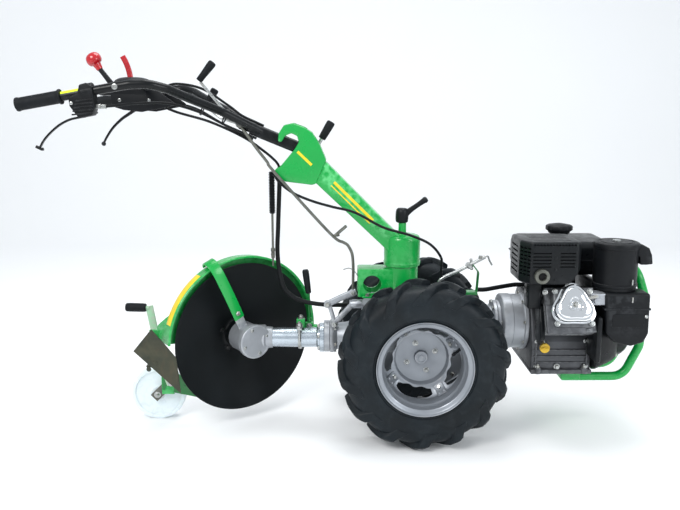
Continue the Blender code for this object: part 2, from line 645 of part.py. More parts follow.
def make_plough():
    case_front = on_plough(CASE_FRONT)
    case_back = on_plough(-CASE_BACK)
    case = combined(
        cylinder(case_back, case_front, CASE_RADIUS, 32),
        joined=[cylinder((CASE_X + 0.02, 0, AXIS_Z), (CASE_X + 0.085, 0, AXIS_Z), 0.038, 24),
                swept([around_disc(0.020 - STRAP_THICKNESS - GAP, r, STRAP_ANGLE) for r in (0.040, 0.110)],
                      flat_section(0.028, STRAP_THICKNESS), across=AXIS.cross(Vector((0, 0, 1))))])
    tube_end = PTO_FLANGE_X - PTO_FLANGE_THICKNESS - GAP
    tube = combined(cylinder((CASE_X + 0.085 + GAP, 0, AXIS_Z), (tube_end, 0, AXIS_Z),
                             TUBE_RADIUS_PLOUGH, 32),
                    joined=[cylinder((tube_end - 0.014, 0, AXIS_Z), (tube_end, 0, AXIS_Z), 0.046, 32)])
    add_node("plough_gear_case", "root", "silver paint", case)
    add_node("plough_tube", "root", "silver paint", tube)

    clamp_inner = TUBE_RADIUS_PLOUGH / math.cos(math.pi / 32) + GAP
    clamp = combined(
        cylinder((-0.384, 0, AXIS_Z), (-0.354, 0, AXIS_Z), 0.038, 24),
        joined=[block((-0.382, -0.356), (-0.012, 0.012), (AXIS_Z + 0.030, AXIS_Z + 0.062)),
                block((-0.356, -0.330), (0.030, 0.044), (AXIS_Z - 0.010, AXIS_Z + 0.040)),
                block((-0.384, -0.354), (0.030, 0.044), (AXIS_Z - 0.010, AXIS_Z + 0.030))],
        cut=[cylinder((-0.39, 0, AXIS_Z), (-0.32, 0, AXIS_Z), clamp_inner, 32)])
    add_node("tilt_clamp", "root", "green paint", clamp)
    latch = combined(
        swept([(-0.343, 0.037, AXIS_Z + 0.040 + GAP), (-0.343, 0.037, AXIS_Z + 0.060), (-0.346, 0.037, 0.425)],
              round_section(0.004, 8)),
        joined=[swept([(-0.345, 0.037, 0.418), (-0.356, 0.037, 0.492)], round_section(0.012, 12))])
    add_node("tilt_latch_lever", "root", "black plastic", latch)

    # The disc: a dished plate and its hub, carried by the gear case's shaft.
    add_body("plough_disc", on_plough(0))
    add_node("plough_disc", "plough_disc", "disc steel", dished_plate())

    add_node("disc_guard", "root", "green paint", guard_band())

    lying = BAND_RADIUS + BAND_THICKNESS + STRAP_THICKNESS / 2
    strap_path = [around_disc(s, r, STRAP_ANGLE) for s, r in (
        (0.020, 0.079), (0.020, 0.200), (0.014, lying), (-0.038, lying))]
    tangent = around_disc(0, 1, STRAP_ANGLE + math.pi / 2) - around_disc(0, 0, 0)
    strap = combined(
        swept(bent(strap_path, 0.025, 3), flat_section(0.034, STRAP_THICKNESS), across=tangent),
        cut=[guard_band(GAP)])
    add_node("guard_strap", "root", "green paint", strap)


def around_disc(s, radius, angle):
    return on_plough(s, radius * math.cos(angle), radius * math.sin(angle))


def dished_plate():
    """A spherical dish opening towards +AXIS, on a hub and shaft."""
    steps = 4
    ball = (DISC_RADIUS ** 2 + DISC_DEPTH ** 2) / (2 * DISC_DEPTH)
    front = []
    back = []
    for k in range(steps + 1):
        r = DISC_RADIUS * k / steps
        sag = ball - math.sqrt(ball ** 2 - r ** 2)
        front.append((r, -RIM_BACK - DISC_DEPTH + sag))
        back.append((r, -RIM_BACK - DISC_DEPTH + sag - DISC_THICKNESS))
    hub_end = -CASE_BACK - SHAFT_CLEARANCE
    hub_radius = 0.042
    shaft_front = [(0, hub_end), (hub_radius, hub_end), (hub_radius, front[1][1] + 0.003)]
    profile = shaft_front + front[2:] + back[::-1]
    return turned(profile, on_plough(0), AXIS, 28)


def guard_band(grow=0.0):
    """An arc of flat band around the disc, forward end first, or the space it takes."""
    shape = bmesh.new()
    inner, outer = BAND_RADIUS - grow, BAND_RADIUS + BAND_THICKNESS + grow
    front = BAND_FRONT - grow
    turn = BAND_END - BAND_START
    angles = [BAND_START + turn * k / BAND_STEPS for k in range(BAND_STEPS + 1)]
    if grow:
        angles = [BAND_START - math.radians(0.3)] + angles + [BAND_END + math.radians(0.3)]
    rings = []
    for angle in angles:
        widened = (angle - BAND_WIDENS[0]) / (BAND_WIDENS[1] - BAND_WIDENS[0])
        rear = BAND_REAR + (BAND_FOOT_REAR - BAND_REAR) * max(0.0, min(1.0, widened)) + grow
        rings.append([shape.verts.new(around_disc(-s, r, angle))
                      for r, s in ((inner, front), (outer, front), (outer, rear), (inner, rear))])
    shape.faces.new(rings[0])
    shape.faces.new(rings[-1])
    for low, high in zip(rings, rings[1:]):
        for i in range(4):
            j = (i + 1) % 4
            shape.faces.new((low[i], low[j], high[j], high[i]))
    return facing_out(shape)


def make_plough_tail():
    """Frame, scraper, depth lever and support wheel behind the disc."""
    leg = swept(bent(LEG_PATH, 0.05, 3), flat_section(0.040, 0.008), across=(1, 0, 0))
    bolt = PIVOT_BOLT_RADIUS + GAP
    hole = cylinder((PIVOT_BOLT[0], -0.02, PIVOT_BOLT[1]), (PIVOT_BOLT[0], 0.01, PIVOT_BOLT[1]), bolt, 16)
    gusset = prism([(-0.815, 0.108), (-0.700, 0.083), (-0.690, 0.110), (-0.760, 0.160), (-0.815, 0.158)],
                   -0.010, -0.002)
    frame = combined(leg, joined=[gusset], cut=[guard_band(GAP), hole])
    add_node("plough_frame", "root", "green paint", frame)

    # Steel plate that scrapes the disc's open side, on a foot bolted to the frame's leg.
    front = SCRAPER_Y - SCRAPER_THICKNESS
    plate = prism([(-0.806, 0.352), (-0.862, 0.284), (-0.743, 0.150), (-0.728, 0.268), (-0.764, 0.300)],
                  front, SCRAPER_Y)
    foot = swept([(-0.808, (front + SCRAPER_Y) / 2, 0.236), (-0.808, -0.075, 0.236)],
                 flat_section(0.036, 0.006), across=(1, 0, 0))
    leg_space = swept(bent(LEG_PATH, 0.05, 3), flat_section(0.044, 0.008 + 2 * GAP), across=(1, 0, 0))
    scraper = combined(plate, joined=[foot], cut=[leg_space])
    add_node("scraper", "root", "scraper steel", scraper)

    lever_y = (-0.002 + GAP, 0.004)
    arm_y = (lever_y[1] + GAP, lever_y[1] + GAP + 0.006)
    middle = sum(lever_y) / 2
    hole = cylinder((PIVOT_BOLT[0], -0.02, PIVOT_BOLT[1]), (PIVOT_BOLT[0], 0.02, PIVOT_BOLT[1]), bolt, 16)
    lever = combined(
        swept([(PIVOT_BOLT[0] + 0.006, middle, PIVOT_BOLT[1] - 0.012), (-0.815, middle, 0.195),
               (-0.846, middle, 0.384)],
              flat_section(lever_y[1] - lever_y[0], 0.024), across=(0, 1, 0)),
        joined=[cylinder((-0.840, middle, 0.378), (-0.920, middle, 0.378), 0.014, 16)],
        cut=[hole])
    add_node("depth_lever", "root", "pale green paint", lever)

    middle = sum(arm_y) / 2
    pivot_x, pivot_z = PIVOT_BOLT
    far = SUPPORT_Y + SUPPORT_WIDTH / 2 + 0.004
    arm = combined(
        swept([(pivot_x + 0.008, middle, pivot_z + 0.008), (SUPPORT_X - 0.006, middle, SUPPORT_RADIUS - 0.006)],
              flat_section(arm_y[1] - arm_y[0], 0.030), across=(0, 1, 0)),
        joined=[cylinder((SUPPORT_X, middle, SUPPORT_RADIUS), (SUPPORT_X, far, SUPPORT_RADIUS),
                         SUPPORT_AXLE_RADIUS, 16),
                cylinder((SUPPORT_X, far - 0.002, SUPPORT_RADIUS), (SUPPORT_X, far, SUPPORT_RADIUS), 0.013, 12),
                cylinder((SUPPORT_X, arm_y[0] - 0.007, SUPPORT_RADIUS), (SUPPORT_X, middle, SUPPORT_RADIUS),
                         0.012, 6),
                cylinder((pivot_x, -0.016, pivot_z), (pivot_x, middle, pivot_z), PIVOT_BOLT_RADIUS, 16),
                cylinder((pivot_x, -0.016, pivot_z), (pivot_x, -0.010 - GAP, pivot_z), 0.011, 6)])
    add_node("support_wheel_arm", "root", "zinc", arm)

    add_body("support_wheel", (SUPPORT_X, SUPPORT_Y, SUPPORT_RADIUS))
    half = SUPPORT_WIDTH / 2
    r = SUPPORT_RADIUS
    bore = SUPPORT_AXLE_RADIUS + AXLE_CLEARANCE
    side = [(bore, half), (0.022, half), (0.025, half - 0.006), (r - 0.015, half - 0.006), (r - 0.010, half),
            (r, half)]
    wheel = turned(side + [(radius, -h) for radius, h in reversed(side)],
                   (SUPPORT_X, SUPPORT_Y, SUPPORT_RADIUS), (0, 1, 0), 20)
    add_node("support_wheel", "support_wheel", "white nylon", wheel)


# Engine ---------------------------------------------------------------------------------

def make_engine():
    x0 = ENGINE_BACK
    block_end = 0.520
    head = block((x0 + 0.020, block_end - 0.020), (-0.226, -0.050), (CRANK_Z - 0.066, CRANK_Z + 0.066), 0.008)
    crank = combined(
        block((x0, block_end), (-0.115, 0.125), (ENGINE_BASE, 0.430), 0.012),
        joined=[turned_by(head, -BANK, "X", (0, 0, CRANK_Z))],
        cut=[block((x0 + 0.025, block_end + 0.010), (-0.095, 0.105), (ENGINE_BASE + 0.020, 0.412))])
    add_node("engine_block", "root", "cast aluminium", crank)

    cover_outline = []
    for k in range(18):
        angle = math.tau * k / 18
        reach = 0.052 + 0.009 * math.cos(3 * angle + math.pi / 2)
        cover_outline.append((0.425 + reach * math.cos(angle), CRANK_Z + 0.004 + reach * math.sin(angle)))
    cover = prism(cover_outline, -0.256, -0.226 - GAP)
    add_node("valve_cover", "root", "chrome", turned_by(cover, -BANK, "X", (0, 0, CRANK_Z)))

    fan_outline = [(0.150, 0.230), (0.150, 0.430), (0.100, 0.478), (-0.090, 0.478), (-0.140, 0.430),
                   (-0.165, 0.330), (-0.140, 0.225), (-0.100, 0.205), (0.110, 0.205)]
    inside = [(y * 0.975, CRANK_Z + (z - CRANK_Z) * 0.975) for y, z in fan_outline]
    fan = combined(
        prism(fan_outline, block_end + GAP, 0.598, "X"),
        cut=[prism(inside, block_end + 0.004, 0.594, "X"),
             cylinder((block_end - 0.010, 0, CRANK_Z), (block_end + 0.010, 0, CRANK_Z), 0.070, 24)])
    add_node("fan_housing", "root", "black paint", fan)
    starter = turned([(0, 0.645), (0.096, 0.645), (0.109, 0.627), (0.109, 0.598 + GAP),
                      (0.112, 0.598 + GAP), (0.112, 0.628), (0.098, 0.648), (0, 0.648)],
                     (0, 0, CRANK_Z), (1, 0, 0), 28)
    add_node("recoil_starter", "root", "black paint", starter)

    # Sheet tank on a hollow saddle; the filler neck opens into it.
    tank = combined(block((0.325, 0.610), (-0.020, 0.190), (0.482, 0.588), 0.024, 2),
                    joined=[cylinder((0.452, 0.060, 0.580), (0.452, 0.060, 0.606), 0.030, 16),
                            block((0.360, 0.500), (0.012, 0.112), (0.430 + GAP, 0.4835))],
                    cut=[block((0.363, 0.497), (0.015, 0.109), (0.420, 0.478)),
                         block((0.328, 0.607), (-0.017, 0.187), (0.485, 0.585), 0.020, 2),
                         cylinder((0.452, 0.060, 0.550), (0.452, 0.060, 0.620), 0.026, 16)])
    add_node("fuel_tank", "root", "black paint", tank)
    cap = turned([(0, 0.606 + GAP), (0.034, 0.606 + GAP), (0.042, 0.612), (0.042, 0.630), (0.036, 0.638),
                  (0, 0.638)], (0.452, 0.060, 0), (0, 0, 1), 24)
    add_node("fuel_cap", "root", "black plastic", cap)

    guard = combined(block((0.275, 0.445), (-0.205, -0.045), (0.497, 0.622), 0.016, 2),
                     joined=[block((0.300, 0.345), (-0.170, -0.110), (0.400, 0.500))],
                     cut=[grown_block(), block((0.278, 0.442), (-0.202, -0.048), (0.500, 0.619), 0.013, 2),
                          block((0.265, 0.290), (-0.180, -0.070), (0.520, 0.600))])
    add_node("muffler_guard", "root", "black paint", guard)

    canister = block((0.503, 0.635), (-0.200, -0.048), (0.470, 0.612), 0.022, 2)
    snout = block((0.620, 0.668), (-0.150, -0.070), (0.525, 0.580), 0.008, 1)
    canister = combined(canister, joined=[snout], cut=[grown_fan()])
    add_node("air_cleaner", "root", "black plastic", canister)
    duct = block((0.605, 0.655), (-0.195, -0.125), (0.310, 0.470 - GAP), 0.012, 1)
    elbow = block((0.528, 0.640), (-0.195, -0.150), (0.310, 0.430), 0.012, 1)
    duct = combined(duct, joined=[elbow], cut=[grown_fan()])
    add_node("air_duct", "root", "black plastic", duct)

    carb = combined(block((0.480, 0.526), (-0.190, -0.140), (0.425, 0.468), 0.004, 1),
                    cut=[grown_block(), grown_fan()])
    add_node("carburettor", "root", "cast aluminium", carb)

    # Tube bumper under and ahead of the engine.
    loop = [(0.450, -GUARD_Y, GUARD_Z), (0.640, -GUARD_Y, GUARD_Z), (0.686, -GUARD_Y, 0.270),
            (0.690, -GUARD_Y, 0.430), (0.662, -GUARD_Y, 0.510)]
    far = [(x, -y, z) for x, y, z in reversed(loop)]
    hoop = swept(bent(loop + far, 0.055, 3), round_section(GUARD_TUBE, 8))
    plate = block((0.440, 0.500), (-0.085, 0.085), (GUARD_Z - 0.004, ENGINE_BASE - GAP), 0.0)
    add_node("front_guard", "root", "green paint", combined(plate, joined=[hoop]))


def grown_block():
    """The engine block's outline with its clearance, for what seats on it."""
    x0, x1 = ENGINE_BACK - GAP, 0.520 + GAP
    head = block((x0 + 0.020, x1 - 0.020), (-0.226 - GAP, -0.050), (CRANK_Z - 0.066, CRANK_Z + 0.066 + GAP), 0.008)
    return combined(block((x0, x1), (-0.115 - GAP, 0.125), (ENGINE_BASE, 0.430 + GAP), 0.012),
                    joined=[turned_by(head, -BANK, "X", (0, 0, CRANK_Z))])


def grown_fan():
    return block((0.515, 0.5985), (-0.1655, 0.15), (0.20, 0.479))


# Controls' rods, cables and hoses --------------------------------------------------------

def make_lines():
    y = -0.030
    rear = -0.175 - GAP
    linkage = combined(
        cylinder((rear, y, 0.398), (-0.216, y, 0.398), 0.014, 16),
        joined=[swept([(-0.200, y, 0.436), (-0.286, y, 0.396)],
                      flat_section(0.010, 0.018), across=(0, 1, 0)),
                swept([(-0.280, y, 0.400), (-0.261, y, 0.332)], flat_section(0.008, 0.012), across=(0, 1, 0)),
                swept([(-0.268, y, 0.332), (-0.205, y, 0.398)], flat_section(0.010, 0.016), across=(0, 1, 0))])
    add_node("selector_linkage", "root", "cast aluminium", linkage)

    clutch = combined(
        block((0.050, 0.086), (-0.036, -0.004), (GEARBOX_TOP + GAP, 0.452), 0.004),
        joined=[swept([(0.064, -0.020, 0.450), (0.069, -0.020, 0.474), (0.130, -0.020, 0.504),
                       (0.204, -0.020, 0.544), (0.222, -0.020, 0.520)], round_section(0.0055, 8)),
                swept(bent([(0.166, -0.020, 0.520), (0.186, -0.010, 0.495), (0.184, 0.004, 0.440),
                            (0.184, 0.004, 0.424)], 0.02, 3), flat_section(0.022, 0.005), across=(0, 1, 0)),
                block((0.130, 0.186), (-0.014, 0.022), (GEARBOX_TOP + GAP, 0.430), 0.0)])
    add_node("clutch_linkage", "root", "zinc", clutch)

    spring = turned([(0, 0.515), (0.004, 0.515), (0.004, 0.545), (0.007, 0.545), (0.007, 0.570),
                     (0.003, 0.570), (0.003, 0.680), (0.0075, 0.680), (0.0075, 0.806), (0, 0.806)],
                    (-0.4521, -0.012, 0), (0, 0, 1), 12)
    add_node("tension_rod", "column", "zinc", spring)

    add_cable("pto_hose", "root", "rubber",
              [(-0.430, 0.012, 0.7845), (-0.432, 0.013, 0.740), (-0.437, 0.018, 0.640), (-0.440, 0.016, 0.540),
               (-0.425, 0.010, 0.450), (-0.395, 0.010, 0.412), (-0.350, 0.008, 0.394),
               (-0.285, 0.004, 0.386), (-0.200, 0.004, 0.386), (-0.1755, 0.004, 0.386)], 0.007, 2)
    add_cable("gear_rod_lower", "root", "zinc",
              [(-0.2287, -0.045, 0.5908), (-0.2215, -0.045, 0.586), (-0.2085, -0.043, 0.560),
               (-0.2045, -0.038, 0.520), (-0.2045, -0.032, 0.480), (-0.2045, -0.030, 0.4448)], 0.0045)
    add_cable("gear_rod_upper", "column", "zinc",
              [(-0.545, -0.0235, 0.947), (-0.535, -0.027, 0.925), (-0.500, -0.045, 0.868),
               (-0.455, -0.048, 0.800), (-0.276, -0.048, 0.624), (-0.230, -0.045, 0.592)], 0.0045)
    add_cable("clutch_cable", "root", "rubber",
              [(-0.362, -0.020, 0.7713), (-0.364, -0.024, 0.745), (-0.340, -0.040, 0.715),
               (-0.270, -0.052, 0.700), (-0.200, -0.062, 0.688), (-0.116, -0.072, 0.645),
               (-0.036, -0.078, 0.622), (0.025, -0.074, 0.594), (0.062, -0.055, 0.550),
               (0.068, -0.028, 0.510), (0.0690, -0.020, 0.4820)], 0.004)
    add_cable("throttle_hose", "root", "rubber",
              [(0.1880, 0.006, 0.434), (0.215, 0.008, 0.434), (0.265, 0.030, 0.437), (0.315, 0.058, 0.4374), (0.335, 0.060, 0.4374),
               (0.3595, 0.060, 0.4374)], 0.007, 2)
    add_cable("throttle_cable", "handlebar", "rubber",
              [(-0.7892, -0.030, 1.050), (-0.775, -0.030, 1.050), (-0.730, -0.018, 1.066),
               (-0.655, -0.004, 1.052), (-0.580, 0.000, 1.004), (-0.540, 0.000, 0.974),
               (-0.500, 0.000, 0.955), (-0.474, 0.000, 0.9440)], 0.004)
    add_cable("brake_cable", "handlebar", "rubber",
              [(-0.800, 0.050, 1.0296), (-0.798, 0.050, 1.005), (-0.745, 0.035, 0.962),
               (-0.640, 0.022, 0.940), (-0.540, 0.016, 0.885), (-0.478, 0.014, 0.847),
               (-0.440, 0.012, 0.830), (-0.430, 0.012, 0.815),
               (-0.430, 0.012, 0.8007)], 0.004)


def stand_on_floor():
    """Move the root so that the origin is the bounding box's middle, on the floor."""
    bpy.context.view_layer.update()
    seen = bpy.context.evaluated_depsgraph_get()
    low = Vector((math.inf,) * 3)
    high = -low
    for item in bpy.data.objects:
        if item.type == "EMPTY":
            continue
        shape = item.evaluated_get(seen).to_mesh()
        for vertex in shape.vertices:
            place = item.matrix_world @ vertex.co
            low = Vector(map(min, low, place))
            high = Vector(map(max, high, place))
    BODIES["root"].location -= Vector(((low.x + high.x) / 2, (low.y + high.y) / 2, low.z))


def main():
    clear_scene()
    add_body("root", (0, 0, 0))
    make_wheel("right", -1)
    make_wheel("left", 1)
    make_gearbox()
    make_column()
    make_handlebar()
    make_controls()
    make_plough()
    make_plough_tail()
    make_engine()
    make_lines()
    stand_on_floor()


main()
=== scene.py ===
"""Walking tractor with a disc plough: the detailed model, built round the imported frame.

Metres, +X forward, +Y to the machine's left, +Z up. Most places are written in the
machine's own measure, from the middle of the drive axle and from the floor; at() turns
them into the frame's coordinates.
"""
import json
import math

import bmesh
import bpy
from bpy.props import FloatProperty, FloatVectorProperty, IntProperty, PointerProperty
from mathutils import Matrix, Vector


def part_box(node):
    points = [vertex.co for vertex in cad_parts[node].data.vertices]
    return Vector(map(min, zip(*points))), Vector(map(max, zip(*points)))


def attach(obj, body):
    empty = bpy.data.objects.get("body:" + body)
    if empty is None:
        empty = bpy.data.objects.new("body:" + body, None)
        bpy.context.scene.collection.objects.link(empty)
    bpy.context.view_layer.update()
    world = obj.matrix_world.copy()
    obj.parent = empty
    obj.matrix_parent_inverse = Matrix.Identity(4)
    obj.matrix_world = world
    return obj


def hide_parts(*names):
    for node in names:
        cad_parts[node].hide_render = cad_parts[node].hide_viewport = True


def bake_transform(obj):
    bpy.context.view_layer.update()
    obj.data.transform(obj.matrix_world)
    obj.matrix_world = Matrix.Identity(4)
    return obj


bl_info = {"name": "Walking Tractor", "version": (1, 0, 0), "blender": (4, 5, 0),
    "location": "View3D > Sidebar > Tractor",
    "description": "Builds a walking tractor with a disc plough round its mechanical frame",
    "category": "Object",}

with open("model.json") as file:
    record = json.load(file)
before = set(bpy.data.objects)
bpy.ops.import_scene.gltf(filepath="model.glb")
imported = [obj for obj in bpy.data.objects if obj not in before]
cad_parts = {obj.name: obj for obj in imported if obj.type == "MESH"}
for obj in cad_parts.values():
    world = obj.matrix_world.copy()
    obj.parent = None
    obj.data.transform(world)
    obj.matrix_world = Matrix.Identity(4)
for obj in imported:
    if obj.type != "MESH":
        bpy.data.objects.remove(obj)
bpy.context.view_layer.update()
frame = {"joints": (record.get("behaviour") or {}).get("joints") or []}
JOINTS = {joint["name"]: joint for joint in frame["joints"]}
RIGHT_AXLE = Vector(JOINTS["right_wheel_axle"]["pos_m"])
LEFT_AXLE = Vector(JOINTS["left_wheel_axle"]["pos_m"])
ORIGIN = Vector((RIGHT_AXLE.x, (RIGHT_AXLE.y + LEFT_AXLE.y) / 2, 0))
PIVOT = Vector(JOINTS["handlebar_height"]["pos_m"]) - ORIGIN
SWIVEL = Vector(JOINTS["column_swivel"]["pos_m"]) - ORIGIN
DISC_AXIS = Vector(JOINTS["disc_shaft"]["axis"]).normalized()
UP = Vector((0, 0, 1))
RIGHT, LEFT = -1, 1
FORE, AFT = (1, 0, 0), (-1, 0, 0)
OUT, ACROSS = (0, -1, 0), (0, 1, 0)     # to the near side, and to the far one


def at(x, y, z):
    """A point of the machine in the frame's coordinates."""
    return ORIGIN + Vector((x, y, z))


def placed(points):
    return [at(*point) for point in points]


def limits(node):
    """A node's box in the machine's measure: ((x, x), (y, y), (z, z))."""
    low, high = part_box(node)
    low, high = Vector(low) - ORIGIN, Vector(high) - ORIGIN
    return tuple((low[i], high[i]) for i in range(3))


# Sizes and colours that a user would change --------------

def colour_property(name, description, default):
    return FloatVectorProperty(name=name, description=description, default=default, size=3, min=0, max=1,
        subtype="COLOR")


def length_property(name, description, default):
    return FloatProperty(name=name, description=description, default=default, min=0, precision=4,
        unit="LENGTH", subtype="DISTANCE")


class TractorPaint(bpy.types.PropertyGroup):
    """Colours of the machine's finishes."""
    green: colour_property("Green", "Gloss paint of the column, guards and bumper", (0, 0.33, 0.05))
    pale_green: colour_property("Pale green", "Primer on the depth lever", (0.36, 0.62, 0.4))
    silver: colour_property("Silver", "Paint of the wheel rims", (0.27, 0.29, 0.32))
    black: colour_property("Black", "Paint of the handlebar and engine covers", (0.004, 0.005, 0.006))
    tyre: colour_property("Tyre", "Rubber of the drive tyres", (0.004, 0.0075, 0.0105))
    red: colour_property("Red", "Plastic of the knob and lever", (0.45, 0.005, 0.012))
    nylon: colour_property("Nylon", "Plastic of the support wheel", (0.78, 0.86, 0.9))
    yellow: colour_property("Yellow", "Blank strips", (0.85, 0.62, 0.02))
    lime: colour_property("Lime", "Strip on the right tube", (0.72, 0.92, 0.03))


class TractorTyres(bpy.types.PropertyGroup):
    """Tread of the drive tyres."""
    lugs: IntProperty(name="Lugs", description="Bars on each half of the tread", default=14, min=8, max=40)
    lug_height: length_property("Lug height", "Of the bars above the casing", 0.017)
    lug_width: length_property("Lug width", "Of a bar across its length", 0.028)
    lug_sweep: FloatProperty(name="Lug sweep", description="Angle round the tyre that a bar covers",
        default=0.38, subtype="ANGLE", unit="ROTATION")


class TractorEngine(bpy.types.PropertyGroup):
    """Details of the engine."""
    fins: IntProperty(name="Fins", description="Cooling fins on the cylinder", default=9, min=3, max=20)
    louvres: IntProperty(name="Louvres", description="Slots in a column of the muffler guard", default=8,
        min=3, max=16)
    fin_thickness: length_property("Fin thickness", "Of each cooling fin", 0.0024)


class TractorStage(bpy.types.PropertyGroup):
    """Floor, lights and camera."""
    floor: colour_property("Floor", "Colour of the floor", (0.97, 0.975, 0.98))
    key_power: FloatProperty(name="Key light", description="Strength of the main light", default=85, min=0,
        subtype="POWER", unit="POWER")
    lens: FloatProperty(name="Lens", description="Focal length", default=39.88, min=10,
        subtype="DISTANCE_CAMERA", unit="CAMERA")
    camera_height: length_property("Camera height", "Above the floor", 0.992)
    camera_pitch: FloatProperty(name="Camera pitch", description="Below the horizon", default=0.191,
        subtype="ANGLE", unit="ROTATION")


def settings():
    return bpy.context.scene.tractor


class TractorSettings(bpy.types.PropertyGroup):
    """All the settings of the model."""
    paint: PointerProperty(type=TractorPaint)
    tyres: PointerProperty(type=TractorTyres)
    engine: PointerProperty(type=TractorEngine)
    stage: PointerProperty(type=TractorStage)


# Finishes ------------------------------------------------

class Nodes:
    """A material's node tree, with short ways to add and join nodes."""

    def __init__(self, name):
        self.material = bpy.data.materials.new(name)
        self.material.use_nodes = True
        self.tree = self.material.node_tree
        self.socket = self.tree.nodes["Principled BSDF"].inputs.get
        self.place = self.add("ShaderNodeTexCoord").outputs["Object"]

    def add(self, kind):
        return self.tree.nodes.new(kind)

    def join(self, source, target):
        self.tree.links.new(source, target)

    def noise(self, scale, detail=3, stretch=None, distortion=0):
        texture = self.add("ShaderNodeTexNoise")
        texture.inputs["Scale"].default_value = scale
        texture.inputs["Detail"].default_value = detail
        texture.inputs["Distortion"].default_value = distortion
        if stretch is None:
            self.join(self.place, texture.inputs["Vector"])
        else:
            mapping = self.add("ShaderNodeMapping")
            mapping.inputs["Scale"].default_value = stretch
            self.join(self.place, mapping.inputs["Vector"])
            self.join(mapping.outputs[0], texture.inputs["Vector"])
        return texture.outputs[0]

    def spread(self, source, low, high, start=0.3, end=0.7):
        ranged = self.add("ShaderNodeMapRange")
        ranged.inputs["From Min"].default_value = start
        ranged.inputs["From Max"].default_value = end
        ranged.inputs["To Min"].default_value = low
        ranged.inputs["To Max"].default_value = high
        self.join(source, ranged.inputs["Value"])
        return ranged.outputs[0]

    def product(self, a, b):
        node = self.add("ShaderNodeMath")
        node.operation = "MULTIPLY"
        self.join(a, node.inputs[0])
        self.join(b, node.inputs[1])
        return node.outputs[0]

    def mix(self, factor, a, b):
        node = self.add("ShaderNodeMix")
        node.data_type = "RGBA"
        self.join(factor, node.inputs[0])
        for value, slot in ((a, node.inputs[6]), (b, node.inputs[7])):
            if isinstance(value, (tuple, list)):
                slot.default_value = (*value, 1)
            else:
                self.join(value, slot)
        return node.outputs[2]

    def bump(self, height, strength, distance):
        node = self.add("ShaderNodeBump")
        node.inputs["Strength"].default_value = strength
        node.inputs["Distance"].default_value = distance
        self.join(height, node.inputs["Height"])
        self.join(node.outputs[0], self.socket("Normal"))

    def edges(self, start, end):
        """1 on worn outer edges, broken up by a noise."""
        point = self.add("ShaderNodeNewGeometry").outputs["Pointiness"]
        return self.product(self.spread(point, 0, 1, start, end), self.spread(self.noise(60, 4), 0, 1, 0.42,
            0.62))


def shade(colour, amount):
    return tuple(min(1, c * amount) for c in colour)


def make_surface(name, colour, roughness, metallic=0, coat=0, patches=(7, 0.12), grain=(500, 0.08),
        rough_spread=0.08, wear=None, stretch=None, shine=0.5):
    """A finish with uneven tone and gloss, a fine grain and, where it wears, worn edges."""
    nodes = Nodes(name)
    scale, strength = patches
    tone = nodes.mix(nodes.spread(nodes.noise(scale, 5, stretch), 0, 1), shade(colour, 1 - strength),
        shade(colour, 1 + strength))
    if wear:
        tone = nodes.mix(nodes.edges(0.53, 0.62), tone, wear)
    nodes.join(tone, nodes.socket("Base Color"))
    gloss = nodes.spread(nodes.noise(scale * 5, 4, stretch), max(0.03, roughness - rough_spread),
        roughness + rough_spread)
    nodes.join(gloss, nodes.socket("Roughness"))
    nodes.socket("Metallic").default_value = metallic
    nodes.socket("Coat Weight").default_value = coat
    nodes.socket("Coat Roughness").default_value = 0.08
    nodes.socket("Specular IOR Level").default_value = shine
    nodes.bump(nodes.noise(grain[0], 2, stretch), grain[1], 0.0006)
    return nodes.material


def green_paint():
    return make_surface("green gloss paint", settings().paint.green, 0.3, coat=0.25, patches=(5, 0.07),
        grain=(140, 0.05), wear=(0.1, 0.55, 0.18))


# A darker copy of the green paint, 0.55 of it: painted shade, for green parts that stand in shadow.
def green_paint_in_painted_shade():
    return make_surface("shaded green paint", shade(settings().paint.green, 0.55), 0.34, coat=0.3,
        patches=(8, 0.15), grain=(160, 0.08), wear=(0.05, 0.35, 0.1))


def pale_green_paint():
    return make_surface("pale green primer", settings().paint.pale_green, 0.48, patches=(14, 0.16),
        grain=(240, 0.1), wear=(0.5, 0.48, 0.42))


def silver_paint():
    return make_surface("silver wheel paint", settings().paint.silver, 0.38, metallic=0.55, coat=0.15,
        patches=(9, 0.1), grain=(700, 0.1), wear=(0.4, 0.4, 0.41))


def plough_casting():
    return make_surface("grey casting paint", (0.36, 0.38, 0.41), 0.42, metallic=0.5, patches=(16, 0.14),
        grain=(320, 0.22), wear=(0.56, 0.57, 0.58))


def bright_tube():
    return make_surface("bright drawn tube", (0.5, 0.56, 0.62), 0.24, metallic=0.85, patches=(9, 0.08),
        grain=(120, 0.06), stretch=(1, 14, 14))


def cast_aluminium():
    return make_surface("cast aluminium", (0.38, 0.4, 0.43), 0.44, metallic=0.75, patches=(12, 0.14),
        grain=(520, 0.3), wear=(0.62, 0.63, 0.65))


def dark_aluminium():
    return make_surface("dark crankcase casting", (0.07, 0.073, 0.08), 0.46, metallic=0.55,
        patches=(14, 0.2), grain=(480, 0.35), wear=(0.24, 0.25, 0.26))


def zinc_plate():
    return make_surface("zinc plate", (0.44, 0.455, 0.45), 0.3, metallic=0.9, patches=(40, 0.16),
        grain=(600, 0.08), rough_spread=0.12, wear=(0.32, 0.31, 0.28))


def dull_zinc():
    return make_surface("yellowed zinc plate", (0.14, 0.143, 0.125), 0.4, metallic=0.7, patches=(46, 0.24),
        grain=(600, 0.1), rough_spread=0.14)


def chrome():
    return make_surface("polished chrome", (0.82, 0.84, 0.86), 0.07, metallic=1, patches=(18, 0.04),
        grain=(60, 0.015), rough_spread=0.03)


def black_paint():
    return make_surface("black gloss paint", settings().paint.black, 0.3, coat=0.05, patches=(8, 0.25),
        grain=(200, 0.06), wear=(0.022, 0.024, 0.027), shine=0.22)


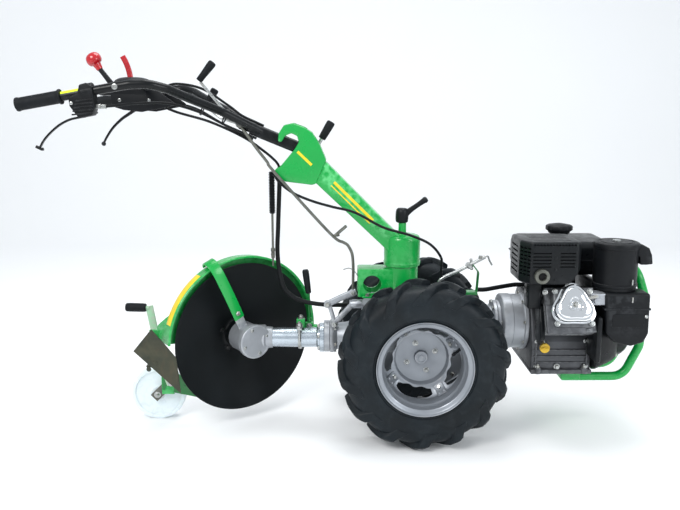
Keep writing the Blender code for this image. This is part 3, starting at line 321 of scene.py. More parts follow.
def cover_paint():
    return make_surface("black stove paint", shade(settings().paint.black, 1.25), 0.34, patches=(10, 0.25),
        grain=(420, 0.14), wear=(0.02, 0.022, 0.025), shine=0.22)


def black_plastic():
    return make_surface("black moulded plastic", (0.0055, 0.0065, 0.008), 0.44, patches=(20, 0.2),
        grain=(900, 0.28), wear=(0.022, 0.024, 0.027), shine=0.2)


# A near-black finish for a plug inside a hole: painted shade for the hole's dark depth.
def painted_hole_shade():
    return make_surface("painted shade inside a hole", (0.003, 0.003, 0.003), 0.85, patches=(8, 0.2), grain=(60, 0.05))


def rubber_hose():
    return make_surface("hose rubber", (0.005, 0.006, 0.007), 0.5, patches=(30, 0.25), grain=(500, 0.2),
        shine=0.2)


def grip_rubber():
    return make_surface("grip rubber", (0.006, 0.0075, 0.0095), 0.58, patches=(36, 0.25), grain=(420, 0.4),
        shine=0.2)


def red_plastic():
    return make_surface("red moulded plastic", settings().paint.red, 0.24, coat=0.4, patches=(20, 0.08),
        grain=(300, 0.04))


def white_nylon():
    nodes = Nodes("white nylon")
    colour = settings().paint.nylon
    scuffs = nodes.spread(nodes.noise(36, 8, (1, 0.3, 1), 1.2), 0, 0.45, 0.52, 0.8)
    nodes.join(nodes.mix(scuffs, tuple(colour), shade(colour, 0.72)), nodes.socket("Base Color"))
    nodes.join(nodes.spread(nodes.noise(50, 3), 0.34, 0.55), nodes.socket("Roughness"))
    nodes.socket("Subsurface Weight").default_value = 0.25
    nodes.socket("Subsurface Radius").default_value = (0.01, 0.012, 0.014)
    nodes.bump(nodes.noise(260, 3), 0.08, 0.0006)
    return nodes.material


def tyre_rubber():
    """Matt rubber with dust lying in the moulded texture."""
    nodes = Nodes("tyre rubber")
    colour = settings().paint.tyre
    tone = nodes.mix(nodes.spread(nodes.noise(11, 6), 0, 1), shade(colour, 0.62), shade(colour, 1.35))
    dust = nodes.spread(nodes.noise(34, 8, None, 0.6), 0, 0.55, 0.5, 0.78)
    dusty = nodes.mix(dust, tone, (0.016, 0.022, 0.026))
    rubbed = nodes.mix(nodes.edges(0.54, 0.66), dusty, (0.034, 0.04, 0.044))
    nodes.join(rubbed, nodes.socket("Base Color"))
    nodes.join(nodes.spread(nodes.noise(18, 5), 0.4, 0.66), nodes.socket("Roughness"))
    nodes.socket("Specular IOR Level").default_value = 0.25
    nodes.bump(nodes.noise(210, 5), 0.3, 0.0012)
    return nodes.material


def disc_paint():
    """Gloss black over rolled steel, with an uneven tone, scuffs and worn edges."""
    nodes = Nodes("black disc paint")
    tone = nodes.mix(nodes.spread(nodes.noise(6, 5), 0, 1), (0.002, 0.003, 0.0036), (0.0045, 0.007, 0.0085))
    scuffs = nodes.spread(nodes.noise(85, 8, None, 1.6), 0, 0.5, 0.6, 0.82)
    dusty = nodes.mix(scuffs, tone, (0.0065, 0.0085, 0.01))
    worn = nodes.mix(nodes.edges(0.56, 0.68), dusty, (0.045, 0.045, 0.045))
    nodes.join(worn, nodes.socket("Base Color"))
    nodes.join(nodes.spread(nodes.noise(12, 6), 0.34, 0.44), nodes.socket("Roughness"))
    nodes.socket("Specular IOR Level").default_value = 0.25
    nodes.bump(nodes.noise(70, 4), 0.03, 0.0008)
    return nodes.material


def scraper_steel():
    nodes = Nodes("worn scraper steel")
    tone = nodes.mix(nodes.spread(nodes.noise(14, 7, None, 0.8), 0, 1), (0.02, 0.028, 0.02),
        (0.062, 0.06, 0.036))
    streaks = nodes.spread(nodes.noise(60, 8, (1, 1, 0.25), 1), 0, 0.6, 0.52, 0.8)
    rusty = nodes.mix(streaks, tone, (0.08, 0.06, 0.036))
    nodes.join(rusty, nodes.socket("Base Color"))
    nodes.socket("Metallic").default_value = 0.35
    nodes.join(nodes.spread(nodes.noise(30, 5), 0.34, 0.6), nodes.socket("Roughness"))
    nodes.bump(nodes.noise(150, 5), 0.12, 0.0008)
    return nodes.material


def yellow_strip():
    return make_surface("blank yellow strip", settings().paint.yellow, 0.36, patches=(30, 0.1),
        grain=(400, 0.05))


def lime_strip():
    return make_surface("lime strip", settings().paint.lime, 0.4, patches=(30, 0.08), grain=(400, 0.05))


def oil_cap_yellow():
    return make_surface("oil cap yellow", (0.62, 0.4, 0.02), 0.4, patches=(40, 0.15), grain=(300, 0.15))


FINISHES = {"green": (green_paint, "green_paint"), "green in painted shade": (green_paint_in_painted_shade, "green_paint"),
    "pale green": (pale_green_paint, "pale_green_paint"), "silver": (silver_paint, "silver_paint"),
    "casting": (plough_casting, "plough_casting"), "bright tube": (bright_tube, "plough_casting"),
    "aluminium": (cast_aluminium, "cast_aluminium"), "dark aluminium": (dark_aluminium, "cast_aluminium"),
    "zinc": (zinc_plate, "zinc_plate"), "dull zinc": (dull_zinc, "zinc_plate"), "chrome": (chrome, "chrome"),
    "black": (black_paint, "black_paint"), "cover": (cover_paint, "black_paint"),
    "plastic": (black_plastic, "black_plastic"), "void": (painted_hole_shade, "black_plastic"),
    "hose": (rubber_hose, "rubber"), "grip": (grip_rubber, "rubber"), "red": (red_plastic, "red_plastic"),
    "nylon": (white_nylon, "white_nylon"), "tyre": (tyre_rubber, "tyre"), "disc": (disc_paint, "disc_steel"),
    "scraper": (scraper_steel, "scraper_steel"), "yellow": (yellow_strip, "green_paint"),
    "lime": (lime_strip, "black_paint"), "oil cap": (oil_cap_yellow, "black_plastic"),}
MADE = {}


def finish(name):
    if name not in MADE:
        MADE[name] = FINISHES[name][0]()
    return MADE[name]


def make_piece(name, shape, body, look, stands_for=(), sharp=35):
    """Turn a shape into a piece that rides on a body; given a tuple in place of a body's name, it stays
    where it is.
    """
    mesh = bpy.data.meshes.new(name)
    bmesh.ops.recalc_face_normals(shape, faces=shape.faces)
    shape.to_mesh(mesh)
    shape.free()
    mesh.materials.append(finish(look))
    mesh.shade_smooth()
    mesh.set_sharp_from_angle(angle=math.radians(sharp))
    made = bpy.data.objects.new(name, mesh)
    bpy.context.scene.collection.objects.link(made)
    if isinstance(body, str):
        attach(made, body)
    else:
        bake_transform(made)
    if stands_for:
        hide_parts(*stands_for)
    return made


# Shapes --------------------------------------------------

def merged(*shapes):
    """Several shapes as one."""
    whole = bmesh.new()
    for shape in shapes:
        mesh = bpy.data.meshes.new("part")
        shape.to_mesh(mesh)
        shape.free()
        whole.from_mesh(mesh)
        bpy.data.meshes.remove(mesh)
    return whole


def frame_along(centre, along):
    turn = Vector(along).to_track_quat("Z", "Y").to_matrix().to_4x4()
    return Matrix.Translation(Vector(centre)) @ turn


def loft(rings):
    """A closed skin over rings of points, each as long as the next."""
    shape = bmesh.new()
    made = [[shape.verts.new(point) for point in ring] for ring in rings]
    count = len(made[0])
    for low, high in zip(made, made[1:]):
        for i in range(count):
            j = (i + 1) % count
            shape.faces.new((low[i], low[j], high[j], high[i]))
    shape.faces.new(made[0])
    shape.faces.new(list(reversed(made[-1])))
    return shape


def lathe(profile, centre, along, sides=48, ring=False):
    """A turned body. Profile points are (radius, distance along); ring joins last to first."""
    place = frame_along(centre, along)
    shape = bmesh.new()
    rings = []
    for radius, height in profile:
        if radius < 1e-6:
            rings.append([shape.verts.new(place @ Vector((0, 0, height)))])
            continue
        rings.append([shape.verts.new(place @ Vector((radius * math.cos(math.tau * i / sides),
            radius * math.sin(math.tau * i / sides), height))) for i in range(sides)])
    followers = rings[1:] + rings[:1] if ring else rings[1:]
    for low, high in zip(rings, followers):
        for i in range(sides):
            j = (i + 1) % sides
            if len(low) == 1 and len(high) == 1:
                continue
            if len(low) == 1:
                shape.faces.new((low[0], high[j], high[i]))
            elif len(high) == 1:
                shape.faces.new((low[i], low[j], high[0]))
            else:
                shape.faces.new((low[i], low[j], high[j], high[i]))
    return shape


def drum(start, end, radius, edge=0.001, sides=32):
    """A cylinder with rounded rims."""
    start, end = Vector(start), Vector(end)
    length = (end - start).length
    rim = [(radius - edge, 0), (radius - edge * 0.3, edge * 0.3), (radius, edge)]
    profile = [(0, 0)] + rim + [(r, length - h) for r, h in reversed(rim)] + [(0, length)]
    return lathe(profile, start, end - start, sides)


def smooth_path(points, spacing=0.008):
    """A smooth curve through points, at an even spacing."""
    points = [Vector(p) for p in points]
    padded = [points[0] * 2 - points[1]] + points + [points[-1] * 2 - points[-2]]
    path = []
    for a, b, c, d in zip(padded, padded[1:], padded[2:], padded[3:]):
        steps = max(2, round((c - b).length / spacing))
        for k in range(steps):
            t = k / steps
            path.append(0.5 * (b * 2 + (c - a) * t + (a * 2 - b * 5 + c * 4 - d) * t ** 2
                + (b * 3 - a - c * 3 + d) * t ** 3))
    path.append(points[-1])
    return path


def bent(points, radius, steps=8):
    """Straight runs with rounded corners."""
    points = [Vector(p) for p in points]
    path = [points[0]]
    for before, here, after in zip(points, points[1:], points[2:]):
        back, forth = before - here, after - here
        turn = math.pi - back.angle(forth)
        cut = min(radius * math.tan(turn / 2), 0.45 * back.length, 0.45 * forth.length)
        start, end = here + back.normalized() * cut, here + forth.normalized() * cut
        for k in range(steps + 1):
            t = k / steps
            path.append(start * (1 - t) ** 2 + here * 2 * t * (1 - t) + end * t * t)
    path.append(points[-1])
    return path


def sweep(path, section, across=None, sizes=None):
    """Carry a section of (side, up) points along a path. sizes scales it at each point."""
    path = [Vector(p) for p in path]
    side = None
    rings = []
    for i, here in enumerate(path):
        ahead = path[min(i + 1, len(path) - 1)] - here
        behind = here - path[max(i - 1, 0)]
        along = (ahead.normalized() + behind.normalized()).normalized()
        if across is not None:
            side = Vector(across)
        elif side is None:
            side = along.orthogonal()
        side = (side - along * side.dot(along)).normalized()
        up = along.cross(side)
        size = sizes[i] if sizes else 1
        rings.append([here + (side * s + up * u) * size for s, u in section])
    return loft(rings)


def ring_section(radius, sides=20):
    return [(radius * math.cos(math.tau * i / sides), radius * math.sin(math.tau * i / sides))
        for i in range(sides)]


def bar_section(width, thickness, corner=0.0012, steps=3):
    """A flat bar's section with rounded corners."""
    corner = min(corner, width * 0.45, thickness * 0.45)
    section = []
    for k in range(4):
        sx, sy = ((1, 1), (-1, 1), (-1, -1), (1, -1))[k]
        middle = (sx * (width / 2 - corner), sy * (thickness / 2 - corner))
        for i in range(steps + 1):
            angle = math.pi / 2 * (k + i / steps)
            section.append((middle[0] + corner * math.cos(angle), middle[1] + corner * math.sin(angle)))
    return section


def rod(points, radius, sides=20, spacing=0.008):
    return sweep(smooth_path(placed(points), spacing), ring_section(radius, sides))


def rounded_outline(points, radius, steps=5):
    """A closed outline with its corners rounded."""
    flat = [Vector((x, z, 0)) for x, z in points]
    count = len(flat)
    result = []
    for i, here in enumerate(flat):
        back, forth = flat[i - 1] - here, flat[(i + 1) % count] - here
        turn = math.pi - back.angle(forth)
        cut = min(radius * math.tan(turn / 2), 0.42 * back.length, 0.42 * forth.length)
        start, end = here + back.normalized() * cut, here + forth.normalized() * cut
        for k in range(steps + 1):
            t = k / steps
            spot = start * (1 - t) ** 2 + here * 2 * t * (1 - t) + end * t * t
            result.append((spot.x, spot.y))
    return result


def slab(outline, low, high, axis="Y", edge=0):
    """An outline given a thickness: (x, z) along Y, (x, y) along Z or (y, z) along X."""
    def corner(u, v, w):
        return at(*{"Y": (u, w, v), "Z": (u, v, w), "X": (w, u, v)}[axis])

    shape = loft([[corner(u, v, low) for u, v in outline], [corner(u, v, high) for u, v in outline]])
    if edge:
        bmesh.ops.recalc_face_normals(shape, faces=shape.faces)
        rims = [e for e in shape.edges if any(len(f.verts) == len(outline) for f in e.link_faces)]
        bmesh.ops.bevel(shape, geom=rims, offset=edge, segments=3, profile=0.5, affect="EDGES",
            clamp_overlap=True)
    return shape


def brick(x, y, z, edge=0.003, segments=3):
    """A box with rounded edges."""
    shape = bmesh.new()
    bmesh.ops.create_cube(shape, size=1)
    bmesh.ops.scale(shape, vec=(x[1] - x[0], y[1] - y[0], z[1] - z[0]), verts=shape.verts)
    bmesh.ops.translate(shape, vec=at((x[0] + x[1]) / 2, (y[0] + y[1]) / 2, (z[0] + z[1]) / 2),
        verts=shape.verts)
    if edge:
        bmesh.ops.bevel(shape, geom=shape.edges[:], offset=edge, segments=segments, profile=0.5,
            affect="EDGES", clamp_overlap=True)
    return shape


def turned_about(shape, angle, axis, about):
    turn = Matrix.Rotation(angle, 4, axis)
    there = Matrix.Translation(Vector(about))
    bmesh.ops.transform(shape, matrix=there @ turn @ there.inverted(), verts=shape.verts)
    return shape


def carved(shape, cutter):
    """Cut one shape out of another."""
    made = []
    for part in (shape, cutter):
        bmesh.ops.recalc_face_normals(part, faces=part.faces)
        mesh = bpy.data.meshes.new("carving")
        part.to_mesh(mesh)
        part.free()
        thing = bpy.data.objects.new("carving", mesh)
        bpy.context.scene.collection.objects.link(thing)
        made.append(thing)
    cut = made[0].modifiers.new("cut", "BOOLEAN")
    cut.object = made[1]
    cut.operation = "DIFFERENCE"
    cut.solver = "EXACT"
    seen = made[0].evaluated_get(bpy.context.evaluated_depsgraph_get())
    result = bmesh.new()
    result.from_mesh(seen.to_mesh())
    seen.to_mesh_clear()
    for thing in made:
        bpy.data.objects.remove(thing, do_unlink=True)
    return result


def hex_bolt(seat, along, size=0.013, washer=True, stud=0):
    """A bolt head on its washer, with a chamfered hexagon."""
    seat, along = Vector(seat), Vector(along).normalized()
    height = size * 0.6
    radius = size / 2 / math.cos(math.pi / 6)
    place = frame_along(seat, along)
    base = size * 0.1 if washer else 0
    rings = []
    for r, h in ((radius, base), (radius, base + height * 0.82), (radius * 0.84, base + height)):
        rings.append([place @ Vector((r * math.cos(math.tau * i / 6), r * math.sin(math.tau * i / 6), h))
            for i in range(6)])
    parts = [loft(rings)]
    if washer:
        parts.append(drum(seat, seat + along * base, size * 0.78, base * 0.3, 20))
    if stud:
        parts.append(drum(seat, seat + along * (base + height + stud), size * 0.3, 0.0006, 12))
    return merged(*parts)


def bolts_round(centre, along, radius, count, size=0.01, start=0, washer=True):
    """Bolts on a circle about an axis."""
    place = frame_along(centre, along)
    heads = []
    for k in range(count):
        angle = start + math.tau * k / count
        heads.append(hex_bolt(place @ Vector((radius * math.cos(angle), radius * math.sin(angle), 0)), along,
            size, washer))
    return merged(*heads)


# Drive wheels --------------------------------------------

RIM_HALF_WIDTH = 0.058
HUB_FLOOR = -0.068          # of the wheel dish, inboard of the tyre's middle plane
WINDOW_TURN = math.radians(-13)
CASING = [(0.1285, 0.0455), (0.133, 0.0495), (0.142, 0.0525), (0.148, 0.056), (0.15, 0.055), (0.152, 0.0575),
    (0.164, 0.061), (0.18, 0.0625), (0.195, 0.0622), (0.208, 0.0605), (0.22, 0.056), (0.229, 0.048),
    (0.2345, 0.036), (0.2375, 0.018), (0.2382, 0)]


def casing_at(t):
    """Point and outward direction on the casing; t runs from the crown (0) to the sidewall (1)."""
    stretch = [(0.2382, 0), (0.2378, 0.016), (0.235, 0.034), (0.229, 0.047), (0.22, 0.0555), (0.208, 0.06),
        (0.196, 0.0618)]
    place = t * (len(stretch) - 1)
    i = min(int(place), len(stretch) - 2)
    (r0, h0), (r1, h1) = stretch[i], stretch[i + 1]
    f = place - i
    normal = Vector((h1 - h0, r0 - r1)).normalized()
    return r0 + (r1 - r0) * f, h0 + (h1 - h0) * f, normal


def tread_lug(centre, half, start, tyres):
    """One bar of the tread, from the middle over the shoulder and down the sidewall."""
    stations = 12
    rings = []
    for k in range(stations + 1):
        t = k / stations
        r, h, normal = casing_at(0.02 + 0.98 * t)
        height = tyres.lug_height * min(1, (1.04 - t) * 2.6) * (0.86 + 0.14 * min(1, t * 5))
        height = max(height, 0.0012)
        reach = min(height, (0.2548 - r) / max(normal.x, 0.05)) if normal.x > 0.3 else height
        reach = min(reach, (0.0634 - h) / max(normal.y, 0.05)) if normal.y > 0.3 else reach
        reach = max(reach, 0.0008)
        width = tyres.lug_width * (0.8 + 0.55 * t)
        angle = start + tyres.lug_sweep * (0.62 - 1.25 * t + 0.3 * t * t)
        ring = []
        for part, lift in ((-0.66, -0.004), (-0.52, 0.55), (-0.42, 0.9), (-0.3, 1), (0.3, 1), (0.42, 0.9),
                (0.52, 0.55), (0.66, -0.004)):
            rise = reach * lift if lift > 0 else lift
            radius = r + normal.x * rise
            turn = angle + part * width / r
            ring.append(centre + Vector((radius * math.sin(turn), half * (h + normal.y * rise),
                radius * math.cos(turn))))
        rings.append(ring)
    return loft(rings)


def make_tyres():
    tyres = settings().tyres
    inner = [(0.15, 0.05), (0.1285, 0.034)]
    for label, centre in (("right", RIGHT_AXLE), ("left", LEFT_AXLE)):
        loop = CASING + [(r, -h) for r, h in reversed(CASING[:-1])]
        loop += [(r, -h) for r, h in reversed(inner)] + inner
        parts = [lathe(loop, centre, ACROSS, 128, ring=True)]
        step = math.tau / tyres.lugs
        for k in range(tyres.lugs):
            parts.append(tread_lug(centre, -1, k * step, tyres))
            parts.append(tread_lug(centre, 1, (k + 0.5) * step, tyres))
        make_piece("lugged_tyre_" + label, merged(*parts), label + "_wheel", "tyre", (label + "_tyre",), 32)


def windowed_ring(centre, side):
    """The wheel's disc: a pressed ring with four wavy windows, folded to the rim."""
    steps = 144
    middle, opening = 0.104, 0.014
    inner, outer = 0.0845, 0.1265
    shape = bmesh.new()
    rows = []
    half_span = math.radians(33)
    is_open = []
    for i in range(steps):
        angle = math.tau * i / steps
        offset = (angle - WINDOW_TURN + math.pi / 4) % (math.pi / 2) - math.pi / 4
        along = abs(offset) / half_span
        gap = 0.0018
        if along < 1:
            gap += opening * (1 - along ** 2) ** 0.42
        wave = 0.0026 * math.cos(offset * 14) if along < 1 else 0
        is_open.append(along < 1 - 1e-6)
        low, high = middle - gap + wave, middle + gap
        radii = [inner, inner + (low - inner) * 0.35, inner + (low - inner) * 0.8, low, high,
            high + (outer - high) * 0.35, high + (outer - high) * 0.7, outer]
        column = []
        for r in radii:
            t = (r - inner) / (outer - inner)
            height = -0.0455 + 0.03 * t ** 1.6
            if r > 0.1215:
                height += (r - 0.1215) * 1.6
            column.append(shape.verts.new(centre + Vector((r * math.cos(angle), side * height,
                r * math.sin(angle)))))
        rows.append(column)
    for i in range(steps):
        j = (i + 1) % steps
        for k in range(7):
            if k == 3 and is_open[i] and is_open[j]:
                continue
            shape.faces.new((rows[i][k], rows[j][k], rows[j][k + 1], rows[i][k + 1]))
    bmesh.ops.recalc_face_normals(shape, faces=shape.faces)
    bmesh.ops.solidify(shape, geom=shape.faces[:], thickness=0.0032)
    return shape


def make_rims():
    edge = RIM_HALF_WIDTH
    flange = [(0.129, edge - 0.009), (0.136, edge - 0.0078), (0.14, edge - 0.005), (0.1418, edge - 0.002),
        (0.1425, edge - 0.0006), (0.142, edge + 0.0006), (0.1405, edge + 0.0008), (0.1392, edge - 0.0004),
        (0.138, edge - 0.003), (0.1345, edge - 0.0062), (0.1275, edge - 0.0078), (0.125, edge - 0.01)]
    barrel = [(0.1232, 0.036), (0.122, 0.03), (0.117, 0.024), (0.116, 0)]
    back = [(0.119, 0), (0.12, 0.026), (0.1262, 0.034), (0.1275, 0.046)]
    half_loop = back + flange + barrel
    loop = half_loop + [(r, -h) for r, h in reversed(half_loop[1:-1])]
    for label, centre, side in (("right", RIGHT_AXLE, RIGHT), ("left", LEFT_AXLE, LEFT)):
        out = Vector((0, side, 0))
        body = label + "_wheel"
        floor = HUB_FLOOR
        dish = [(0, floor + 0.0125), (0.008, floor + 0.0125), (0.0085, floor + 0.0105),
            (0.013, floor + 0.0105), (0.0138, floor + 0.0125), (0.019, floor + 0.012),
            (0.0205, floor + 0.0105), (0.0212, floor + 0.001), (0.024, floor), (0.074, floor),
            (0.0775, floor + 0.0015), (0.08, floor + 0.006), (0.0812, -0.05), (0.0825, -0.0465),
            (0.086, -0.045), (0.086, -0.0482), (0.0835, -0.0495), (0.082, floor - 0.002), (0, floor - 0.003)]
        rim = merged(lathe(loop, centre, out, 128, ring=True), lathe(dish, centre, out, 96),
            windowed_ring(centre, side))
        make_piece("pressed_rim_" + label, rim, body, "silver", (label + "_rim",), 30)

        fixings = []
        for k in range(4):
            angle = WINDOW_TURN + math.radians(45 + 90 * k)
            spoke = Vector((math.cos(angle), 0, math.sin(angle)))
            across = Vector((-math.sin(angle), 0, math.cos(angle)))
            path = [centre + spoke * 0.092 + out * -0.0395, centre + spoke * 0.104 + out * -0.0275,
                centre + spoke * 0.1165 + out * -0.011]
            fixings.append(sweep(smooth_path(path, 0.004), bar_section(0.03, 0.004, 0.0015), across=across))
            for shift in (-0.0085, 0.0085):
                spot = centre + spoke * 0.11 + across * shift + out * -0.0178
                fixings.append(lathe([(0.0044, 0), (0.0042, 0.0014), (0.0028, 0.0026), (0, 0.003)], spot,
                    out - spoke * 0.9, 14))
        make_piece("rim_brackets_" + label, merged(*fixings), body, "silver")
        nuts = [hex_bolt(centre + Vector((math.cos(a), 0, math.sin(a))) * 0.046 + out * floor, out, 0.0115,
            stud=0.003) for a in (math.radians(22 + 90 * k) for k in range(4))]
        for k in range(4):
            angle = WINDOW_TURN + math.radians(45 + 90 * k)
            spoke = Vector((math.cos(angle), 0, math.sin(angle)))
            nuts.append(hex_bolt(centre + spoke * 0.0985 + out * -0.0315, out - spoke * 0.7, 0.01))
        make_piece("wheel_nuts_" + label, merged(*nuts), body, "zinc")
        lean = math.radians(24)
        root = centre + Vector((math.cos(lean), 0, math.sin(lean))) * 0.1165 + out * 0.006
        tip = root + out * 0.016 - Vector((math.cos(lean), 0, math.sin(lean))) * 0.02
        valve = merged(sweep([root, (root + tip) / 2, tip], ring_section(0.0042, 14), sizes=[1.3, 1, 0.9]),
            drum(tip, tip + (tip - root).normalized() * 0.01, 0.0048, 0.001, 14))
        make_piece("tyre_valve_" + label, valve, body, "plastic")

        hub = [(0, -0.04), (0.023, -0.04), (0.023, -0.014), (0.056, -0.012), (0.06, -0.01), (0.06, -0.001),
            (0.058, 0), (0, 0)]
        seat = Vector((centre.x, 0, centre.z)) + Vector((0, ORIGIN.y, 0)) + out * (0.1845 - 0.0745)
        make_piece("axle_flange_" + label, lathe(hub, seat, out, 64), body, "aluminium",
            (label + "_axle_hub",))


# Drive line and column -----------------------------------

AXLE_Z = RIGHT_AXLE.z
CRANK = 0.335               # height of the engine's shaft
OUTLET = limits("pto_flange")
OUTLET_Z = sum(OUTLET[2]) / 2
CAP_TOP = 0.612


def make_drive_line():
    outline = [(-0.15, 0.18), (-0.08, 0.15), (0.09, 0.15), (0.16, 0.195), (0.19, 0.262), (0.19, 0.4),
        (0.165, 0.42), (-0.135, 0.42), (-0.175, 0.385), (-0.175, 0.235)]
    case = [slab(rounded_outline(outline, 0.016), -0.068, 0.068, edge=0.008)]
    for side in (RIGHT, LEFT):
        inner = [(x * 0.86 + 0.004, 0.285 + (z - 0.285) * 0.84) for x, z in outline]
        low, high = sorted((side * 0.06, side * 0.0745))
        case.append(slab(rounded_outline(inner, 0.014), low, high, edge=0.0025))
        trumpet = [(0, 0), (0.058, 0), (0.058, 0.008), (0.05, 0.011), (0.0455, 0.016), (0.0445, 0.026),
            (0.04, 0.0275), (0, 0.0275)]
        case.append(lathe(trumpet, at(0, side * 0.064, AXLE_Z), (0, side, 0), 48))
        for angle in range(0, 360, 45):
            spoke = Vector((math.cos(math.radians(angle)), 0, math.sin(math.radians(angle))))
            case.append(sweep([at(0, side * 0.0745, AXLE_Z) + spoke * 0.046,
                at(0, side * 0.0745, AXLE_Z) + spoke * 0.098], bar_section(0.006, 0.01, 0.002),
                across=ACROSS))
    for x in (-0.08, 0, 0.08):
        case.append(brick((x - 0.003, x + 0.003), (-0.07, 0.07), (0.146, 0.165), 0.0015))
    back = [(0, 0), (0.06, 0), (0.052, 0.03), (0.044, 0.06), (0.042, 0.085), (0.05, 0.094), (0.052, 0.098),
        (0.052, 0.1065), (0.05, 0.108), (0, 0.108)]
    case.append(lathe(back, at(-0.1685, 0, OUTLET_Z), AFT, 56))
    front = [(0, 0), (0.064, 0), (0.056, 0.012), (0.05, 0.018), (0.05, 0.05), (0.055, 0.054), (0.066, 0.056),
        (0.066, 0.064), (0.064, 0.0655), (0, 0.0655)]
    case.append(lathe(front, at(0.179, 0, CRANK), FORE, 56))
    make_piece("gearbox_casting", merged(*case), "root", "aluminium", ("gearbox",), 30)
    studs = [bolts_round(at(0.235, 0, CRANK), AFT, 0.0605, 8, 0.01, 0.2),
        bolts_round(at(-0.263, 0, OUTLET_Z), FORE, 0.0465, 6, 0.0095, 0.3), hex_bolt(at(-0.06, -0.03, 0.42),
        UP, 0.017), hex_bolt(at(0.11, 0.045, 0.42), UP, 0.019)]
    for side in (RIGHT, LEFT):
        studs.append(bolts_round(at(0, side * 0.072, AXLE_Z), (0, side, 0), 0.052, 6, 0.009, 0.5))
        for x, z in ((-0.125, 0.375), (0, 0.395), (0.135, 0.378), (0.15, 0.28), (0.105, 0.185), (-0.1, 0.18),
                (-0.138, 0.27)):
            studs.append(hex_bolt(at(x, side * 0.0745, z), (0, side, 0), 0.0095))
    make_piece("gearbox_bolts", merged(*studs), "root", "zinc")

    bell = [(0, 0.2455), (0.064, 0.2455), (0.0655, 0.247), (0.0655, 0.2535), (0.062, 0.256), (0.072, 0.2568),
        (0.0845, 0.258), (0.0868, 0.2605), (0.0868, 0.287), (0.085, 0.289), (0.0852, 0.32), (0.087, 0.3215),
        (0.0885, 0.324), (0.0885, 0.332), (0.087, 0.3345), (0, 0.3345)]
    make_piece("clutch_bell", lathe(bell, at(0, 0, CRANK), FORE, 96), "root", "casting", ("clutch_housing",),
        28)
    make_piece("clutch_bell_bolts", merged(bolts_round(at(0.2535, 0, CRANK), FORE, 0.0592, 8, 0.0095, 0.6),
        bolts_round(at(0.3215, 0, CRANK), AFT, 0.0875, 8, 0.0085, 0.2)), "root", "zinc")

    end = OUTLET[0][0]
    plate = [(0, 0), (0.0485, 0), (0.05, 0.0012), (0.05, 0.0165), (0.0488, 0.0178), (0, 0.0178)]
    make_piece("drive_outlet_flange", lathe(plate, at(end, 0, OUTLET_Z), FORE, 56), "root", "aluminium",
        ("pto_flange",))


